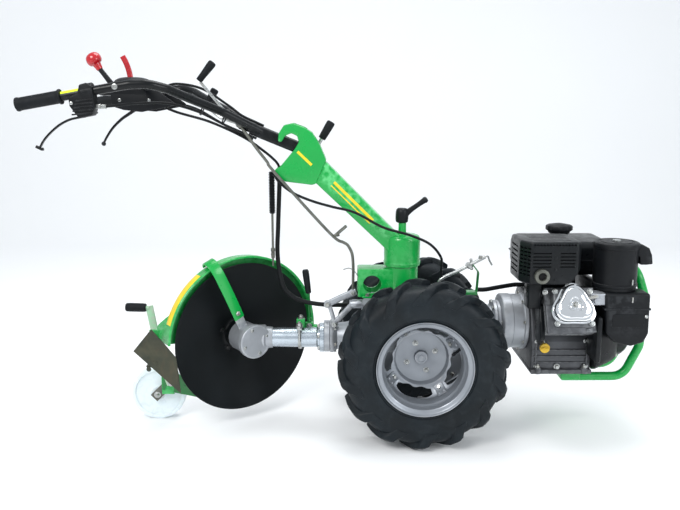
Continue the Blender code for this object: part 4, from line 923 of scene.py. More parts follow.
def make_column():
    x = SWIVEL.x
    bottom, top = 0.4203, 0.509
    foot = carved(brick((-0.19, x), (-0.04, 0.04), (bottom, top), 0.005), drum(at(-0.146, -0.06, 0.462),
        at(-0.146, 0.06, 0.462), 0.028, 0.001, 48))
    foot = carved(foot, brick((-0.21, x - 0.052), (-0.0335, 0.0335), (0.4, top - 0.0065), 0.003))
    for side in (RIGHT, LEFT):
        low, high = sorted((side * 0.04, side * 0.052))
        foot = merged(foot, brick((-0.176, -0.096), (low, high), (bottom, bottom + 0.007), 0.002))
    post = [(0, bottom), (0.06, bottom), (0.06, bottom + 0.009), (0.0585, bottom + 0.011),
        (0.052, bottom + 0.013), (0.05, bottom + 0.016), (0.05, 0.509), (0.049, 0.5148), (0, 0.5148)]
    make_piece("column_foot", merged(foot, lathe(post, at(x, 0, 0), UP, 72)), "root", "green",
        ("column_base",), 28)
    nuts = [hex_bolt(at(bx, side * 0.046, bottom + 0.007), UP, 0.011) for bx in (-0.16, -0.112)
        for side in (RIGHT, LEFT)]
    nuts += [hex_bolt(at(x + 0.0555 * math.cos(a), 0.0555 * math.sin(a), bottom + 0.011), UP, 0.009)
        for a in (math.radians(20 + 60 * k) for k in range(6))]
    make_piece("column_foot_bolts", merged(*nuts), "root", "zinc")

    head = [(-0.286, 0.842), (-0.296, 0.866), (-0.305, 0.888), (-0.328, 0.924), (-0.352, 0.94),
        (-0.385, 0.952), (-0.412, 0.946), (-0.428, 0.922), (-0.43, 0.898), (-0.42, 0.896), (-0.408, 0.915),
        (-0.39, 0.922), (-0.373, 0.914), (-0.368, 0.896), (-0.38, 0.876), (-0.424, 0.824), (-0.44, 0.815),
        (-0.444, 0.796), (-0.41, 0.778), (-0.33, 0.768), (-0.318, 0.771)]
    beam = [(-0.06, CAP_TOP - 0.004), (-0.284, 0.834), (-0.3, 0.85), (-0.335, 0.8), (-0.334, 0.772),
        (-0.318, 0.773), (-0.1, 0.567), (-0.048, 0.545)]
    shell = merged(slab(rounded_outline(head, 0.008, 4), -0.0345, 0.0345, edge=0.0075),
        slab(rounded_outline(beam, 0.01, 4), -0.0305, 0.0305, edge=0.011))
    for vertex in shell.verts:
        along = max(0, min(1, (vertex.co.x - ORIGIN.x + 0.29) / 0.2))
        vertex.co.y = ORIGIN.y + (vertex.co.y - ORIGIN.y) * (1 + 0.16 * along)
    space = slab([(-0.3385, 0.834), (-0.358, 0.802), (-0.47, 0.802), (-0.47, 1), (-0.37, 1), (-0.328, 0.898),
        (-0.312, 0.88), (-0.31, 0.856), (-0.322, 0.84)], -0.0236, 0.0236)
    shell = carved(shell, space)
    cap = [(0, 0.5162), (0.0545, 0.5162), (0.056, 0.5178), (0.056, 0.596), (0.0548, 0.603), (0.0515, 0.6085),
        (0.046, 0.6112), (0.04, 0.612), (0.0205, 0.6122), (0.017, 0.615), (0, 0.615)]
    ring = [(0.0555, 0.523), (0.0572, 0.524), (0.0572, 0.529), (0.0555, 0.53)]
    whole = merged(shell, lathe(cap, at(x, 0, 0), UP, 96), lathe(ring, at(x, 0, 0), UP, 96, ring=True))
    make_piece("column_arm", whole, "column", "green", ("steering_arm",), 26)

    strips = []
    for offset, width in ((0.0075, 0.0085), (-0.006, 0.0035)):
        start, end = Vector((-0.268, 0, 0.771)), Vector((-0.15, 0, 0.655))
        lift = Vector((0.7, 0, 0.71)) * offset
        for side in (RIGHT, LEFT):
            path = [at(*(start.lerp(end, k / 12) + lift)) + Vector((0,
                side * (0.0305 * (1 + 0.16 * (0.022 + 0.118 * k / 12) / 0.2)), 0)) for k in range(13)]
            strips.append(sweep(path, bar_section(0.0012, width, 0.0004), across=ACROSS))
    path = [at(-0.372, RIGHT * 0.0346, 0.868), at(-0.33, RIGHT * 0.0346, 0.828)]
    strips.append(sweep(path, bar_section(0.001, 0.008, 0.0004), across=ACROSS))
    make_piece("column_strips", merged(*strips), "column", "yellow")

    pin = merged(hex_bolt(at(PIVOT.x, 0.0346, PIVOT.z), ACROSS, 0.019), drum(at(PIVOT.x, -0.034, PIVOT.z),
        at(PIVOT.x, 0.034, PIVOT.z), 0.0079, 0.0005, 24))
    make_piece("height_pivot_pin", pin, "column", "zinc", ("height_pivot_bolt",))

    stud = [(0, 0.615), (0.015, 0.615), (0.0155, 0.617), (0.0122, 0.619), (0.0118, 0.65), (0, 0.65)]
    make_piece("clamp_stud", lathe(stud, at(x, 0, 0), UP, 32), "column", "green")
    hub = [(0, 0), (0.015, 0), (0.0185, 0.003), (0.02, 0.012), (0.0198, 0.032), (0.018, 0.04),
        (0.014, 0.044), (0.01, 0.0425), (0, 0.0425)]
    lever = smooth_path(placed([(x + 0.006, 0, 0.672), (-0.03, 0, 0.686), (-0.006, 0, 0.703),
        (0.018, 0, 0.72)]), 0.004)
    count = len(lever)
    sizes = [1.12 - 0.34 * math.sin(math.pi * min(1, i / (count - 1) * 0.85)) for i in range(count)]
    end = lathe([(0, 0), (0.007, 0.0015), (0.0098, 0.006), (0.0098, 0.011), (0.007, 0.015), (0, 0.0165)],
        at(0.01, 0, 0.714), (0.82, 0, 0.58), 24)
    handle = merged(lathe(hub, at(x - 0.002, 0, 0.649), (0.02, 0, 1), 40), sweep(lever,
        bar_section(0.016, 0.019, 0.006, 5), across=ACROSS, sizes=sizes), end)
    make_piece("swivel_lever", handle, "column", "plastic", ("swivel_clamp_lever",))

    reach = 0.0346
    pin = merged(drum(at(-0.318, reach, 0.874), at(-0.318, reach + 0.019, 0.874), 0.0118, 0.0015, 32),
        rod([(-0.318, reach + 0.012, 0.874), (-0.309, 0.049, 0.889), (-0.297, 0.048, 0.91)], 0.0058))
    make_piece("height_lever_shaft", pin, "column", "zinc")
    grip = lathe([(0, 0), (0.01, 0), (0.0112, 0.0015), (0.012, 0.012), (0.013, 0.04), (0.0132, 0.054),
        (0.0118, 0.0585), (0.008, 0.0602), (0, 0.0605)], at(-0.301, 0.048, 0.903), (0.031, 0, 0.052), 32)
    make_piece("height_lever_grip", grip, "column", "grip", ("height_lever",))


# Handlebar and controls ----------------------------------

HANDLE_HALF = 0.25
HANDLE_END = -1.104
TUBE = 0.0125


def handle_points(side):
    w = HANDLE_HALF
    return [(-0.47, 0, 0.92), (-0.5885, side * 0.07, 0.985), (-0.665, side * 0.15, 1.021),
        (-0.7174, side * 0.215, 1.0475), (-0.755, side * 0.243, 1.058), (-0.8066, side * w, 1.057),
        (-0.889, side * w, 1.043), (HANDLE_END, side * w, 1.005)]


def along_grip(side):
    last, before = (at(*point) for point in reversed(handle_points(side)[-2:]))
    return last, (last - before).normalized()


def make_handlebar():
    x, z = PIVOT.x, PIVOT.z
    tongue = drum(at(x, -0.0205, z), at(x, 0.0205, z), 0.0255, 0.001, 48)
    stem = sweep(placed([(x, 0, z), (-0.44, 0, 0.9065), (-0.512, 0, 0.936)]),
        bar_section(0.036, 0.036, 0.009, 6), across=ACROSS)
    parts = [tongue, stem]
    for side in (RIGHT, LEFT):
        tube = bent(placed(handle_points(side)), 0.06, 10)
        parts.append(sweep(tube, ring_section(TUBE, 32)))
    w = HANDLE_HALF
    parts.append(drum(at(-0.8066, -w, 1.057), at(-0.8066, w, 1.057), 0.011, 0.0005, 32))
    parts.append(drum(at(-0.5885, -0.07, 0.985), at(-0.5885, 0.07, 0.985), 0.007, 0.0005, 24))
    lug = rounded_outline([(-0.49, 0.915), (-0.49, 0.935), (-0.545, 0.962), (-0.56, 0.95), (-0.548, 0.934)],
        0.005)
    parts.append(slab(lug, -0.009, 0.009, edge=0.0015))
    make_piece("handlebar_frame", merged(*parts), "handlebar", "black", ("handlebar",))

    for label, side in (("right", RIGHT), ("left", LEFT)):
        last, along = along_grip(side)
        profile = [(0.0128, 0), (0.0195, 0), (0.0204, 0.0012), (0.0204, 0.005), (0.0192, 0.0066),
            (0.0176, 0.008)]
        for k in range(30):
            start = 0.01 + k * 0.0034
            profile += [(0.0172, start), (0.0175, start + 0.0007), (0.0175, start + 0.0019),
                (0.0172, start + 0.0026)]
        profile += [(0.0176, 0.113), (0.0186, 0.1165), (0.019, 0.1195), (0.0182, 0.1222), (0.015, 0.1238),
            (0, 0.124)]
        make_piece("handle_grip_" + label, lathe(profile, last - along * 0.118, along, 40), "handlebar",
            "grip", (label + "_grip",), 40)
    last, along = along_grip(RIGHT)
    section = [(0.0129 * math.sin(a), 0.0129 * math.cos(a)) for a in (math.radians(-62 + 124 * k / 16)
        for k in range(17))]
    section += [(s * 0.96, u * 0.96) for s, u in reversed(section)]
    start, end = last - along * 0.12, last - along * 0.168
    strip = sweep([start.lerp(end, k / 4) for k in range(5)], section, across=ACROSS)
    make_piece("lime_strip", strip, "handlebar", "lime")


def make_controls():
    w = HANDLE_HALF
    tray = slab(rounded_outline([(-0.944, -0.066), (-0.93, -0.086), (-0.8, -0.086), (-0.776, -0.04),
        (-0.776, 0.04), (-0.8, 0.086), (-0.93, 0.086), (-0.944, 0.066)], 0.012), 1.0315, 1.058, "Z",
        edge=0.004)
    rings = []
    for k in range(9):
        t = k / 8
        swell = math.cos(t * math.pi / 2) ** 0.62 if k < 8 else 0.06
        lift = 1.056 + 0.03 * math.sin(t * math.pi / 2)
        rings.append([at(-0.858 + 0.062 * swell * math.cos(a) - 0.006 * t, 0.066 * swell * math.sin(a), lift)
            for a in (math.tau * i / 56 for i in range(56))])
    dome = loft(rings)
    skirts = []
    for side in (RIGHT, LEFT):
        low, high = sorted((side * 0.08, side * 0.0855))
        skirts.append(slab(rounded_outline([(-0.905, 1.045), (-0.905, 1.01), (-0.895, 0.998), (-0.87, 0.99),
            (-0.815, 0.985), (-0.715, 1.004), (-0.77, 1.045)], 0.006), low, high, edge=0.0012))
    make_piece("console_shell", merged(tray, dome, *skirts), "handlebar", "plastic", ("console",), 32)
    screws = []
    for side in (RIGHT, LEFT):
        for sx, sz in ((-0.88, 1.018), (-0.795, 1.018)):
            screws.append(hex_bolt(at(sx, side * 0.0855, sz), (0, side, 0), 0.006))
        screws.append(hex_bolt(at(-0.842, side * (w + 0.012), 1.051), (0, side, 0), 0.01))
    screws.append(brick((-0.776, -0.742), (-0.03, 0.03), (1.04, 1.0435), 0.001))
    screws.append(drum(at(-0.79, -0.03, 1.05), at(-0.768, -0.03, 1.05), 0.0065, 0.001, 24))
    make_piece("console_screws", merged(*screws), "handlebar", "zinc")

    stalk = placed([(-0.912, -0.02, 1.056), (-0.934, -0.02, 1.086), (-0.952, -0.02, 1.11)])
    make_piece("knob_stalk", sweep(stalk, ring_section(0.0074, 24), sizes=[1.2, 1, 0.95]), "handlebar",
        "plastic")
    knob = [(0, -0.031), (0.0085, -0.031), (0.01, -0.027), (0.0108, -0.02), (0.0125, -0.0135),
        (0.018, -0.011), (0.0215, -0.005), (0.0225, 0.002), (0.0215, 0.009), (0.0185, 0.015),
        (0.013, 0.0195), (0.007, 0.0215), (0, 0.0222)]
    make_piece("red_knob", lathe(knob, at(-0.966, -0.02, 1.134), (-0.5, 0, 0.86), 48), "handlebar", "red",
        ("red_knob_lever",), 50)
    blade = smooth_path(placed([(-0.874, 0.03, 1.072), (-0.879, 0.03, 1.105), (-0.887, 0.03, 1.13),
        (-0.896, 0.03, 1.148)]), 0.005)
    make_piece("red_blade", sweep(blade, bar_section(0.0105, 0.0165, 0.004, 4), across=ACROSS), "handlebar",
        "red", ("red_reverse_lever",))

    near = -w
    body = slab(rounded_outline([(-0.938, 1.035), (-0.934, 1.056), (-0.915, 1.061), (-0.9, 1.052),
        (-0.895, 1), (-0.903, 0.976), (-0.94, 0.969), (-0.962, 1), (-0.964, 1.024)], 0.007), near - 0.021,
        near + 0.021, edge=0.0045)
    along = along_grip(RIGHT)[1]
    ribs = [lathe([(0.013, -0.016), (0.0205, -0.016), (0.022, -0.014), (0.022, 0.014), (0.0205, 0.016),
        (0.013, 0.016)], at(-0.916, near, 1.0382), along, 40)]
    for k in range(5):
        z = 0.978 + k * 0.0088
        for side in (RIGHT, LEFT):
            y = near + side * 0.0215
            ribs.append(sweep([at(-0.956 + 0.003 * k, y, z), at(-0.9, y, z + 0.005)],
                bar_section(0.003, 0.0042, 0.0012), across=ACROSS))
    make_piece("switch_box", merged(body, *ribs), "handlebar", "plastic", ("control_box",), 32)
    bits = [lathe([(0.0048, 0), (0.0046, 0.0012), (0.003, 0.0022), (0, 0.0024)],
        at(-0.956, near - 0.0208, 1.008), OUT, 20), brick((-0.898, -0.87), (near - 0.008, near + 0.006),
        (0.993, 1.005), 0.002), hex_bolt(at(-0.885, near - 0.008, 0.999), OUT, 0.0085)]
    make_piece("switch_box_fittings", merged(*bits), "handlebar", "zinc")

    hook = smooth_path(placed([(-0.928, near, 0.9735), (-0.948, near, 0.97), (-0.972, near, 0.964),
        (-0.999, near, 0.95), (-1.026, near, 0.928), (-1.044, near, 0.908), (-1.053, near, 0.893)]), 0.005)
    count = len(hook)
    lever = sweep(hook, bar_section(0.0125, 0.0055, 0.0018, 4), across=ACROSS,
        sizes=[1.15 - 0.35 * i / (count - 1) for i in range(count)])
    tip = rod([(-1.0455, near, 0.887), (-1.05, near, 0.8865), (-1.056, near, 0.8895),
        (-1.065, near, 0.8935)], 0.0042, 16, 0.002)
    make_piece("near_hand_lever", merged(lever, tip), "handlebar", "black", ("right_hand_lever",))

    far = w
    perch = merged(slab(rounded_outline([(-0.936, 1), (-0.93, 0.986), (-0.9, 0.983), (-0.865, 0.996),
        (-0.852, 1.008), (-0.865, 1.026), (-0.92, 1.03)], 0.007), far - 0.012, far + 0.012, edge=0.003),
        lathe([(0.013, -0.022), (0.017, -0.022), (0.0182, -0.02), (0.0182, 0.02), (0.017, 0.022),
        (0.013, 0.022)], at(-0.908, far, 1.0395), along, 40))
    blade = smooth_path(placed([(-0.916, far, 0.996), (-0.94, far, 0.98), (-0.97, far, 0.96),
        (-1, far, 0.932), (-1.022, far, 0.902), (-1.034, far, 0.881)]), 0.005)
    count = len(blade)
    blade = sweep(blade, bar_section(0.014, 0.009, 0.0035, 4), across=ACROSS,
        sizes=[1.35 - 0.65 * (i / (count - 1)) ** 0.6 for i in range(count)])
    ball = lathe([(0, -0.0075), (0.0052, -0.0055), (0.0078, 0), (0.0052, 0.0055), (0, 0.0075)],
        at(-1.0345, far, 0.879), ACROSS, 24)
    make_piece("far_hand_lever", merged(perch, blade, ball), "handlebar", "black", ("left_hand_lever",))
    plate = [slab(rounded_outline([(-0.926, 0.996), (-0.912, 0.987), (-0.895, 0.99), (-0.89, 1.008),
        (-0.918, 1.013)], 0.003), far - 0.0145, far - 0.0118, edge=0.0008),
        hex_bolt(at(-0.916, far - 0.0145, 1.002), OUT, 0.0085), hex_bolt(at(-0.899, far - 0.0145, 0.996),
        OUT, 0.0085), drum(at(-0.856, far, 1.008), at(-0.83, far, 1.009), 0.005, 0.001, 20)]
    make_piece("far_lever_plate", merged(*plate), "handlebar", "zinc")

    for label, side, path, grip in (("gear", RIGHT, [(-0.547, 0.948), (-0.58, 0.977), (-0.656, 1.071)],
            [(-0.66, 1.0745), (-0.6165, 1.128)]), ("speed", LEFT, [(-0.547, 0.948), (-0.605, 0.966),
            (-0.65, 1)], [(-0.652, 1.0005), (-0.6205, 1.052)])):
        y = side * 0.014
        grip_y = 2 * y
        steel = merged(sweep(bent(placed([(path[0][0], y, path[0][1]), (path[1][0], y, path[1][1]),
            (path[2][0], grip_y, path[2][1])]), 0.02), ring_section(0.0042, 20)),
            drum(at(-0.547, side * 0.0094, 0.948), at(-0.547, side * 0.0185, 0.948), 0.0098, 0.001, 28),
            hex_bolt(at(-0.547, side * 0.0185, 0.948), (0, side, 0), 0.0095))
        make_piece(label + "_shift_rod", steel, "handlebar", "zinc")
        foot, head = at(grip[0][0], grip_y, grip[0][1]), at(grip[1][0], grip_y, grip[1][1])
        length = (head - foot).length
        shape = [(0, 0), (0.0085, 0), (0.0096, 0.0015), (0.01, 0.02), (0.0118, length * 0.72),
            (0.0122, length * 0.9), (0.0108, length * 0.975), (0.007, length), (0, length)]
        make_piece(label + "_shift_grip", lathe(shape, foot, head - foot, 32), "handlebar", "grip",
            (label + "_lever",))


# Plough --------------------------------------------------

TUBE_Z = 0.281              # of the drive tube and the disc's centre
CASE_X = -0.543
OPEN_SIDE = DISC_AXIS if DISC_AXIS.y < 0 else -DISC_AXIS
FORWARD = Vector((-OPEN_SIDE.y, OPEN_SIDE.x, 0))
DISC_RADIUS = 0.238
DISC_DEPTH = 0.062
BAND_RADIUS = 0.256
STRAP_ANGLE = math.radians(114)
LEG = [(-0.808, -0.082, 0.33), (-0.808, -0.074, 0.225), (-0.796, -0.006, 0.178), (-0.796, -0.006, 0.095)]
ARM_BOLT = (-0.785, 0.134)


def around_disc(s, radius, angle):
    """A point s along the disc's axis, at a radius and at an angle from forward, upwards."""
    return (at(CASE_X, 0, TUBE_Z) + OPEN_SIDE * s + FORWARD * radius * math.cos(angle)
        + UP * radius * math.sin(angle))


def band(inner, outer, front, narrow, start, end, foot=0):
    """An arc around the disc; its foot lies this much deeper, on the leg."""
    steps = 96
    rings = []
    edge = min(outer - inner, narrow - front) * 0.35
    for k in range(steps + 1):
        angle = start + (end - start) * k / steps
        rear = narrow + foot * max(0, min(1, (math.degrees(angle) - 157) / 10))
        rings.append([around_disc(-s, r, angle) for r, s in ((inner, front + edge), (inner + edge, front),
            (outer - edge, front), (outer, front + edge), (outer, rear - edge), (outer - edge, rear),
            (inner + edge, rear), (inner, rear - edge))])
    return loft(rings)


def make_plough():
    centre = around_disc(0, 0, 0)
    ball = (DISC_RADIUS ** 2 + DISC_DEPTH ** 2) / (2 * DISC_DEPTH)

    def dish(radius):
        return -0.068 + ball - math.sqrt(ball ** 2 - radius ** 2)

    radii = [0.05 + (DISC_RADIUS - 0.0012 - 0.05) * k / 36 for k in range(37)]
    profile = [(0, -0.0312), (0.04, -0.0312), (0.0418, -0.033), (0.0418, dish(0.042) + 0.006),
        (0.044, dish(0.044) + 0.002)] + [(r, dish(r)) for r in radii]
    profile += [(DISC_RADIUS, dish(DISC_RADIUS) - 0.0012), (DISC_RADIUS, dish(DISC_RADIUS) - 0.003)]
    profile += [(r, dish(r) - 0.0042) for r in reversed(radii)] + [(0, dish(0) - 0.004)]
    make_piece("dished_blade", lathe(profile, centre, OPEN_SIDE, 160), "plough_disc", "disc",
        ("plough_disc",), 28)
    make_piece("blade_bolts", merged(bolts_round(centre + OPEN_SIDE * (dish(0.056) - 0.001), OPEN_SIDE,
        0.056, 5, 0.012, 0.3), bolts_round(centre + OPEN_SIDE * (dish(0.056) - 0.0035), -OPEN_SIDE, 0.056, 5,
        0.012, 0.3, True)), "plough_disc", "disc")

    case = [(0, -0.03), (0.0455, -0.03), (0.0475, -0.028), (0.0475, 0.042), (0.053, 0.045), (0.053, 0.053),
        (0.0523, 0.0536), (0.0523, 0.0546), (0.053, 0.0552), (0.053, 0.0618), (0.0515, 0.0635),
        (0.047, 0.064), (0.0462, 0.0632), (0, 0.0632)]
    nose = [(0, 0), (0.04, 0), (0.04, 0.04), (0.035, 0.045), (0.0335, 0.06), (0.0325, 0.065), (0, 0.065)]
    tab_side = OPEN_SIDE.cross(UP)
    inner = 0.02 - 0.0053
    tab = sweep([around_disc(inner, 0.04, STRAP_ANGLE), around_disc(inner, 0.113, STRAP_ANGLE)],
        bar_section(0.03, 0.005, 0.0015), across=tab_side)
    casting = merged(lathe(case, centre, OPEN_SIDE, 80), lathe(nose, at(CASE_X + 0.02, 0, TUBE_Z), FORE, 56),
        tab)
    make_piece("gear_case", casting, "root", "casting", ("plough_gear_case",), 28)
    screws = []
    for k in range(4):
        angle = math.radians(18 + 90 * k)
        spot = around_disc(0.0632, 0.0405, angle)
        screws.append(lathe([(0.0062, 0), (0.0062, 0.001), (0.0048, 0.0014), (0.0046, 0.0036),
            (0.0034, 0.0046), (0, 0.0048)], spot, OPEN_SIDE, 20))
    screws.append(hex_bolt(around_disc(0.02, 0.098, STRAP_ANGLE) + OPEN_SIDE * 0.0002, OPEN_SIDE, 0.013))
    make_piece("gear_case_screws", merged(*screws), "root", "zinc")

    start, end = CASE_X + 0.0853, -0.2953
    tube = [(0, 0), (0.031, 0), (0.031, end - start - 0.024), (0.0345, end - start - 0.02),
        (0.0355, end - start - 0.0145), (0.045, end - start - 0.014), (0.046, end - start - 0.0128),
        (0.046, end - start - 0.001), (0.0452, end - start), (0, end - start)]
    make_piece("drive_tube", lathe(tube, at(start, 0, TUBE_Z), FORE, 72), "root", "bright tube",
        ("plough_tube",), 28)
    make_piece("drive_tube_bolts", bolts_round(at(end - 0.014, 0, TUBE_Z), AFT, 0.04, 6, 0.0095, 0.35),
        "root", "zinc")

    clamp = [brick((-0.382, -0.356), (-0.012, 0.012), (TUBE_Z + 0.0335, TUBE_Z + 0.062), 0.003),
        brick((-0.356, -0.33), (0.03, 0.044), (TUBE_Z - 0.01, TUBE_Z + 0.04), 0.003), brick((-0.384, -0.354),
        (0.03, 0.044), (TUBE_Z - 0.01, TUBE_Z + 0.03), 0.003), drum(at(-0.332, 0.037, TUBE_Z + 0.022),
        at(-0.318, 0.037, TUBE_Z + 0.022), 0.01, 0.002, 28)]
    make_piece("tilt_bracket", merged(*clamp), "root", "green", ("tilt_clamp",))
    strap = [(0.0318, -0.005), (0.0355, -0.005), (0.0362, -0.004), (0.0362, 0.004), (0.0355, 0.005),
        (0.0318, 0.005)]
    loops = [lathe(strap, at(-0.372, 0, TUBE_Z), FORE, 56, ring=True),
        drum(at(-0.372, -0.0335, TUBE_Z - 0.004), at(-0.372, -0.0335, TUBE_Z + 0.056), 0.0042, 0.001, 20),
        hex_bolt(at(-0.372, -0.0335, TUBE_Z + 0.046), UP, 0.015, stud=0.004),
        drum(at(-0.372, -0.0335, TUBE_Z + 0.04), at(-0.372, -0.0335, TUBE_Z + 0.0465), 0.0105, 0.001, 24),
        brick((-0.38, -0.364), (-0.04, 0), (TUBE_Z + 0.034, TUBE_Z + 0.04), 0.0015),
        hex_bolt(at(-0.369, 0, TUBE_Z + 0.062), UP, 0.013, stud=0.003),
        hex_bolt(at(-0.343, 0.03, TUBE_Z + 0.028), OUT, 0.012, stud=0.003),
        hex_bolt(at(-0.35, 0.03, TUBE_Z + 0.002), OUT, 0.01)]
    make_piece("tilt_clamp_band", merged(*loops), "root", "zinc")
    latch = merged(rod([(-0.343, 0.037, TUBE_Z + 0.0404), (-0.343, 0.037, 0.35), (-0.345, 0.037, 0.425)],
        0.0042), drum(at(-0.343, 0.037, TUBE_Z + 0.0404), at(-0.343, 0.037, TUBE_Z + 0.054), 0.007, 0.001,
        24))
    # The latch rod takes the darker copy of the green paint: painted shade.
    make_piece("latch_rod", latch, "root", "green in painted shade")
    foot, head = at(-0.345, 0.037, 0.416), at(-0.355, 0.037, 0.493)
    make_piece("latch_grip", lathe([(0, 0), (0.0078, 0), (0.009, 0.0012), (0.0098, 0.02), (0.0108, 0.06),
        (0.0104, 0.072), (0.008, 0.0768), (0, 0.0776)], foot, head - foot, 28), "root", "grip",
        ("tilt_latch_lever",))

    start, end = math.radians(-6), math.radians(176)
    guard = merged(band(BAND_RADIUS, BAND_RADIUS + 0.004, 0.002, 0.04, start, end, 0.06),
        band(BAND_RADIUS - 0.0016, BAND_RADIUS + 0.0056, 0.001, 0.0065, start, end))
    make_piece("guard_band", guard, "root", "green", ("disc_guard",), 40)
    strip = band(BAND_RADIUS + 0.003, BAND_RADIUS + 0.0046, 0.01, 0.038, math.radians(124),
        math.radians(163))
    # The lip behind the disc takes the darker copy of the green paint: painted shade, for its place in the
    # disc's shadow.
    make_piece("guard_lip", band(0.2255, BAND_RADIUS + 0.001, 0.0205, 0.024, start, end), "root",
        "green in painted shade")
    make_piece("guard_strip", strip, "root", "yellow", (), 50)
    lying = BAND_RADIUS + 0.004 + 0.0025
    route = [around_disc(s, r, STRAP_ANGLE) for s, r in ((0.02, 0.079), (0.022, 0.15), (0.02, 0.205),
        (0.018, 0.24), (0.01, 0.264), (-0.004, 0.277), (-0.022, 0.279), (-0.034, 0.272),
        (-0.039, lying + 0.0005))]
    tangent = around_disc(0, 1, STRAP_ANGLE + math.pi / 2) - around_disc(0, 0, 0)
    strap = sweep(smooth_path(route, 0.005), bar_section(0.034, 0.005, 0.0016), across=tangent)
    make_piece("guard_loop", strap, "root", "green", ("guard_strap",))


def make_plough_tail():
    leg = sweep(bent(placed(LEG), 0.05), bar_section(0.04, 0.008, 0.002), across=FORE)
    gusset = slab(rounded_outline([(-0.815, 0.108), (-0.7, 0.083), (-0.69, 0.11), (-0.76, 0.16),
        (-0.815, 0.158)], 0.008), -0.01, -0.0022, edge=0.0012)
    make_piece("tail_leg", leg, "root", "green", ("plough_frame",))
    # The gusset takes the darker copy of the green paint: painted shade.
    make_piece("tail_gusset", gusset, "root", "green in painted shade")
    front = -0.15
    plate = slab(rounded_outline([(-0.806, 0.352), (-0.862, 0.284), (-0.725, 0.15), (-0.735, 0.262),
        (-0.764, 0.3)], 0.0025, 3), front, front + 0.005, edge=0.001)
    foot = sweep(placed([(-0.808, front + 0.002, 0.236), (-0.808, -0.081, 0.236)]),
        bar_section(0.036, 0.006, 0.0015), across=FORE)
    make_piece("scraper_plate", merged(plate, foot), "root", "scraper", ("scraper",))
    make_piece("scraper_bolts", merged(*[lathe([(0.0075, 0), (0.0072, 0.001), (0.0045, 0.0022), (0, 0.0026)],
        at(x, front, z), OUT, 20) for x, z in ((-0.797, 0.246), (-0.818, 0.228))]), "root", "scraper")

    middle = 0.0012
    lever = sweep(bent(placed([(ARM_BOLT[0] + 0.006, middle, ARM_BOLT[1] - 0.012), (-0.815, middle, 0.195),
        (-0.846, middle, 0.384)]), 0.03), bar_section(0.0054, 0.024, 0.0014), across=ACROSS)
    crook = rod([(-0.8455, middle, 0.378), (-0.862, middle, 0.3784), (-0.88, middle, 0.378)], 0.006)
    stay = sweep(placed([(-0.812, -0.0135, 0.215), (-0.785, -0.0135, 0.128)]),
        bar_section(0.005, 0.026, 0.0015), across=ACROSS)
    make_piece("depth_blade", merged(lever, crook, stay), "root", "pale green")
    foot, head = at(-0.856, middle, 0.3782), at(-0.92, middle, 0.38)
    make_piece("depth_grip", lathe([(0, 0), (0.0115, 0), (0.013, 0.0015), (0.0138, 0.01), (0.014, 0.048),
        (0.0134, 0.06), (0.011, 0.0634), (0, 0.064)], foot, head - foot, 36), "root", "grip",
        ("depth_lever",))

    x, z = -0.834, 0.087
    arm_y = (0.0043, 0.0103)
    arm = sweep(placed([(ARM_BOLT[0] + 0.008, sum(arm_y) / 2, ARM_BOLT[1] + 0.008), (x - 0.012,
        sum(arm_y) / 2, z - 0.012)]), bar_section(0.006, 0.03, 0.0015), across=ACROSS)
    axle = merged(drum(at(x, 0.006, z), at(x, 0.06, z), 0.0078, 0.001, 28),
        hex_bolt(at(x, 0.057, z), ACROSS, 0.015))
    make_piece("tail_wheel_arm", merged(arm, axle), "root", "dull zinc", ("support_wheel_arm",))
    make_piece("tail_bolts", merged(hex_bolt(at(x, 0.0043, z), OUT, 0.014, stud=0.003),
        hex_bolt(at(ARM_BOLT[0], -0.016, ARM_BOLT[1]), OUT, 0.014, stud=0.003),
        hex_bolt(at(-0.796, -0.0102, 0.148), OUT, 0.01)), "root", "zinc")
    half, radius = 0.02, 0.087
    bore = 0.0089
    side = [(bore, half - 0.001), (bore + 0.001, half), (0.022, half), (0.0236, half - 0.0015),
        (0.0252, half - 0.005), (0.0293, half - 0.007), (0.0524, half - 0.0064), (0.0692, half - 0.0066),
        (0.0723, half - 0.005), (0.0749, half - 0.0008), (0.077, half), (0.0828, half),
        (0.0854, half - 0.001), (0.0868, half - 0.004), (radius, half - 0.007)]
    wheel = lathe(side + [(r, -h) for r, h in reversed(side)], at(x, 0.036, z), ACROSS, 112, ring=True)
    make_piece("nylon_wheel", wheel, "support_wheel", "nylon", ("support_wheel",), 28)


# Engine --------------------------------------------------

BANK = math.radians(25)
BLOCK = (0.335, 0.52)


def banked(shape):
    """Tip a shape of the upright cylinder to its place."""
    return turned_about(shape, -BANK, "X", at(0, 0, CRANK))


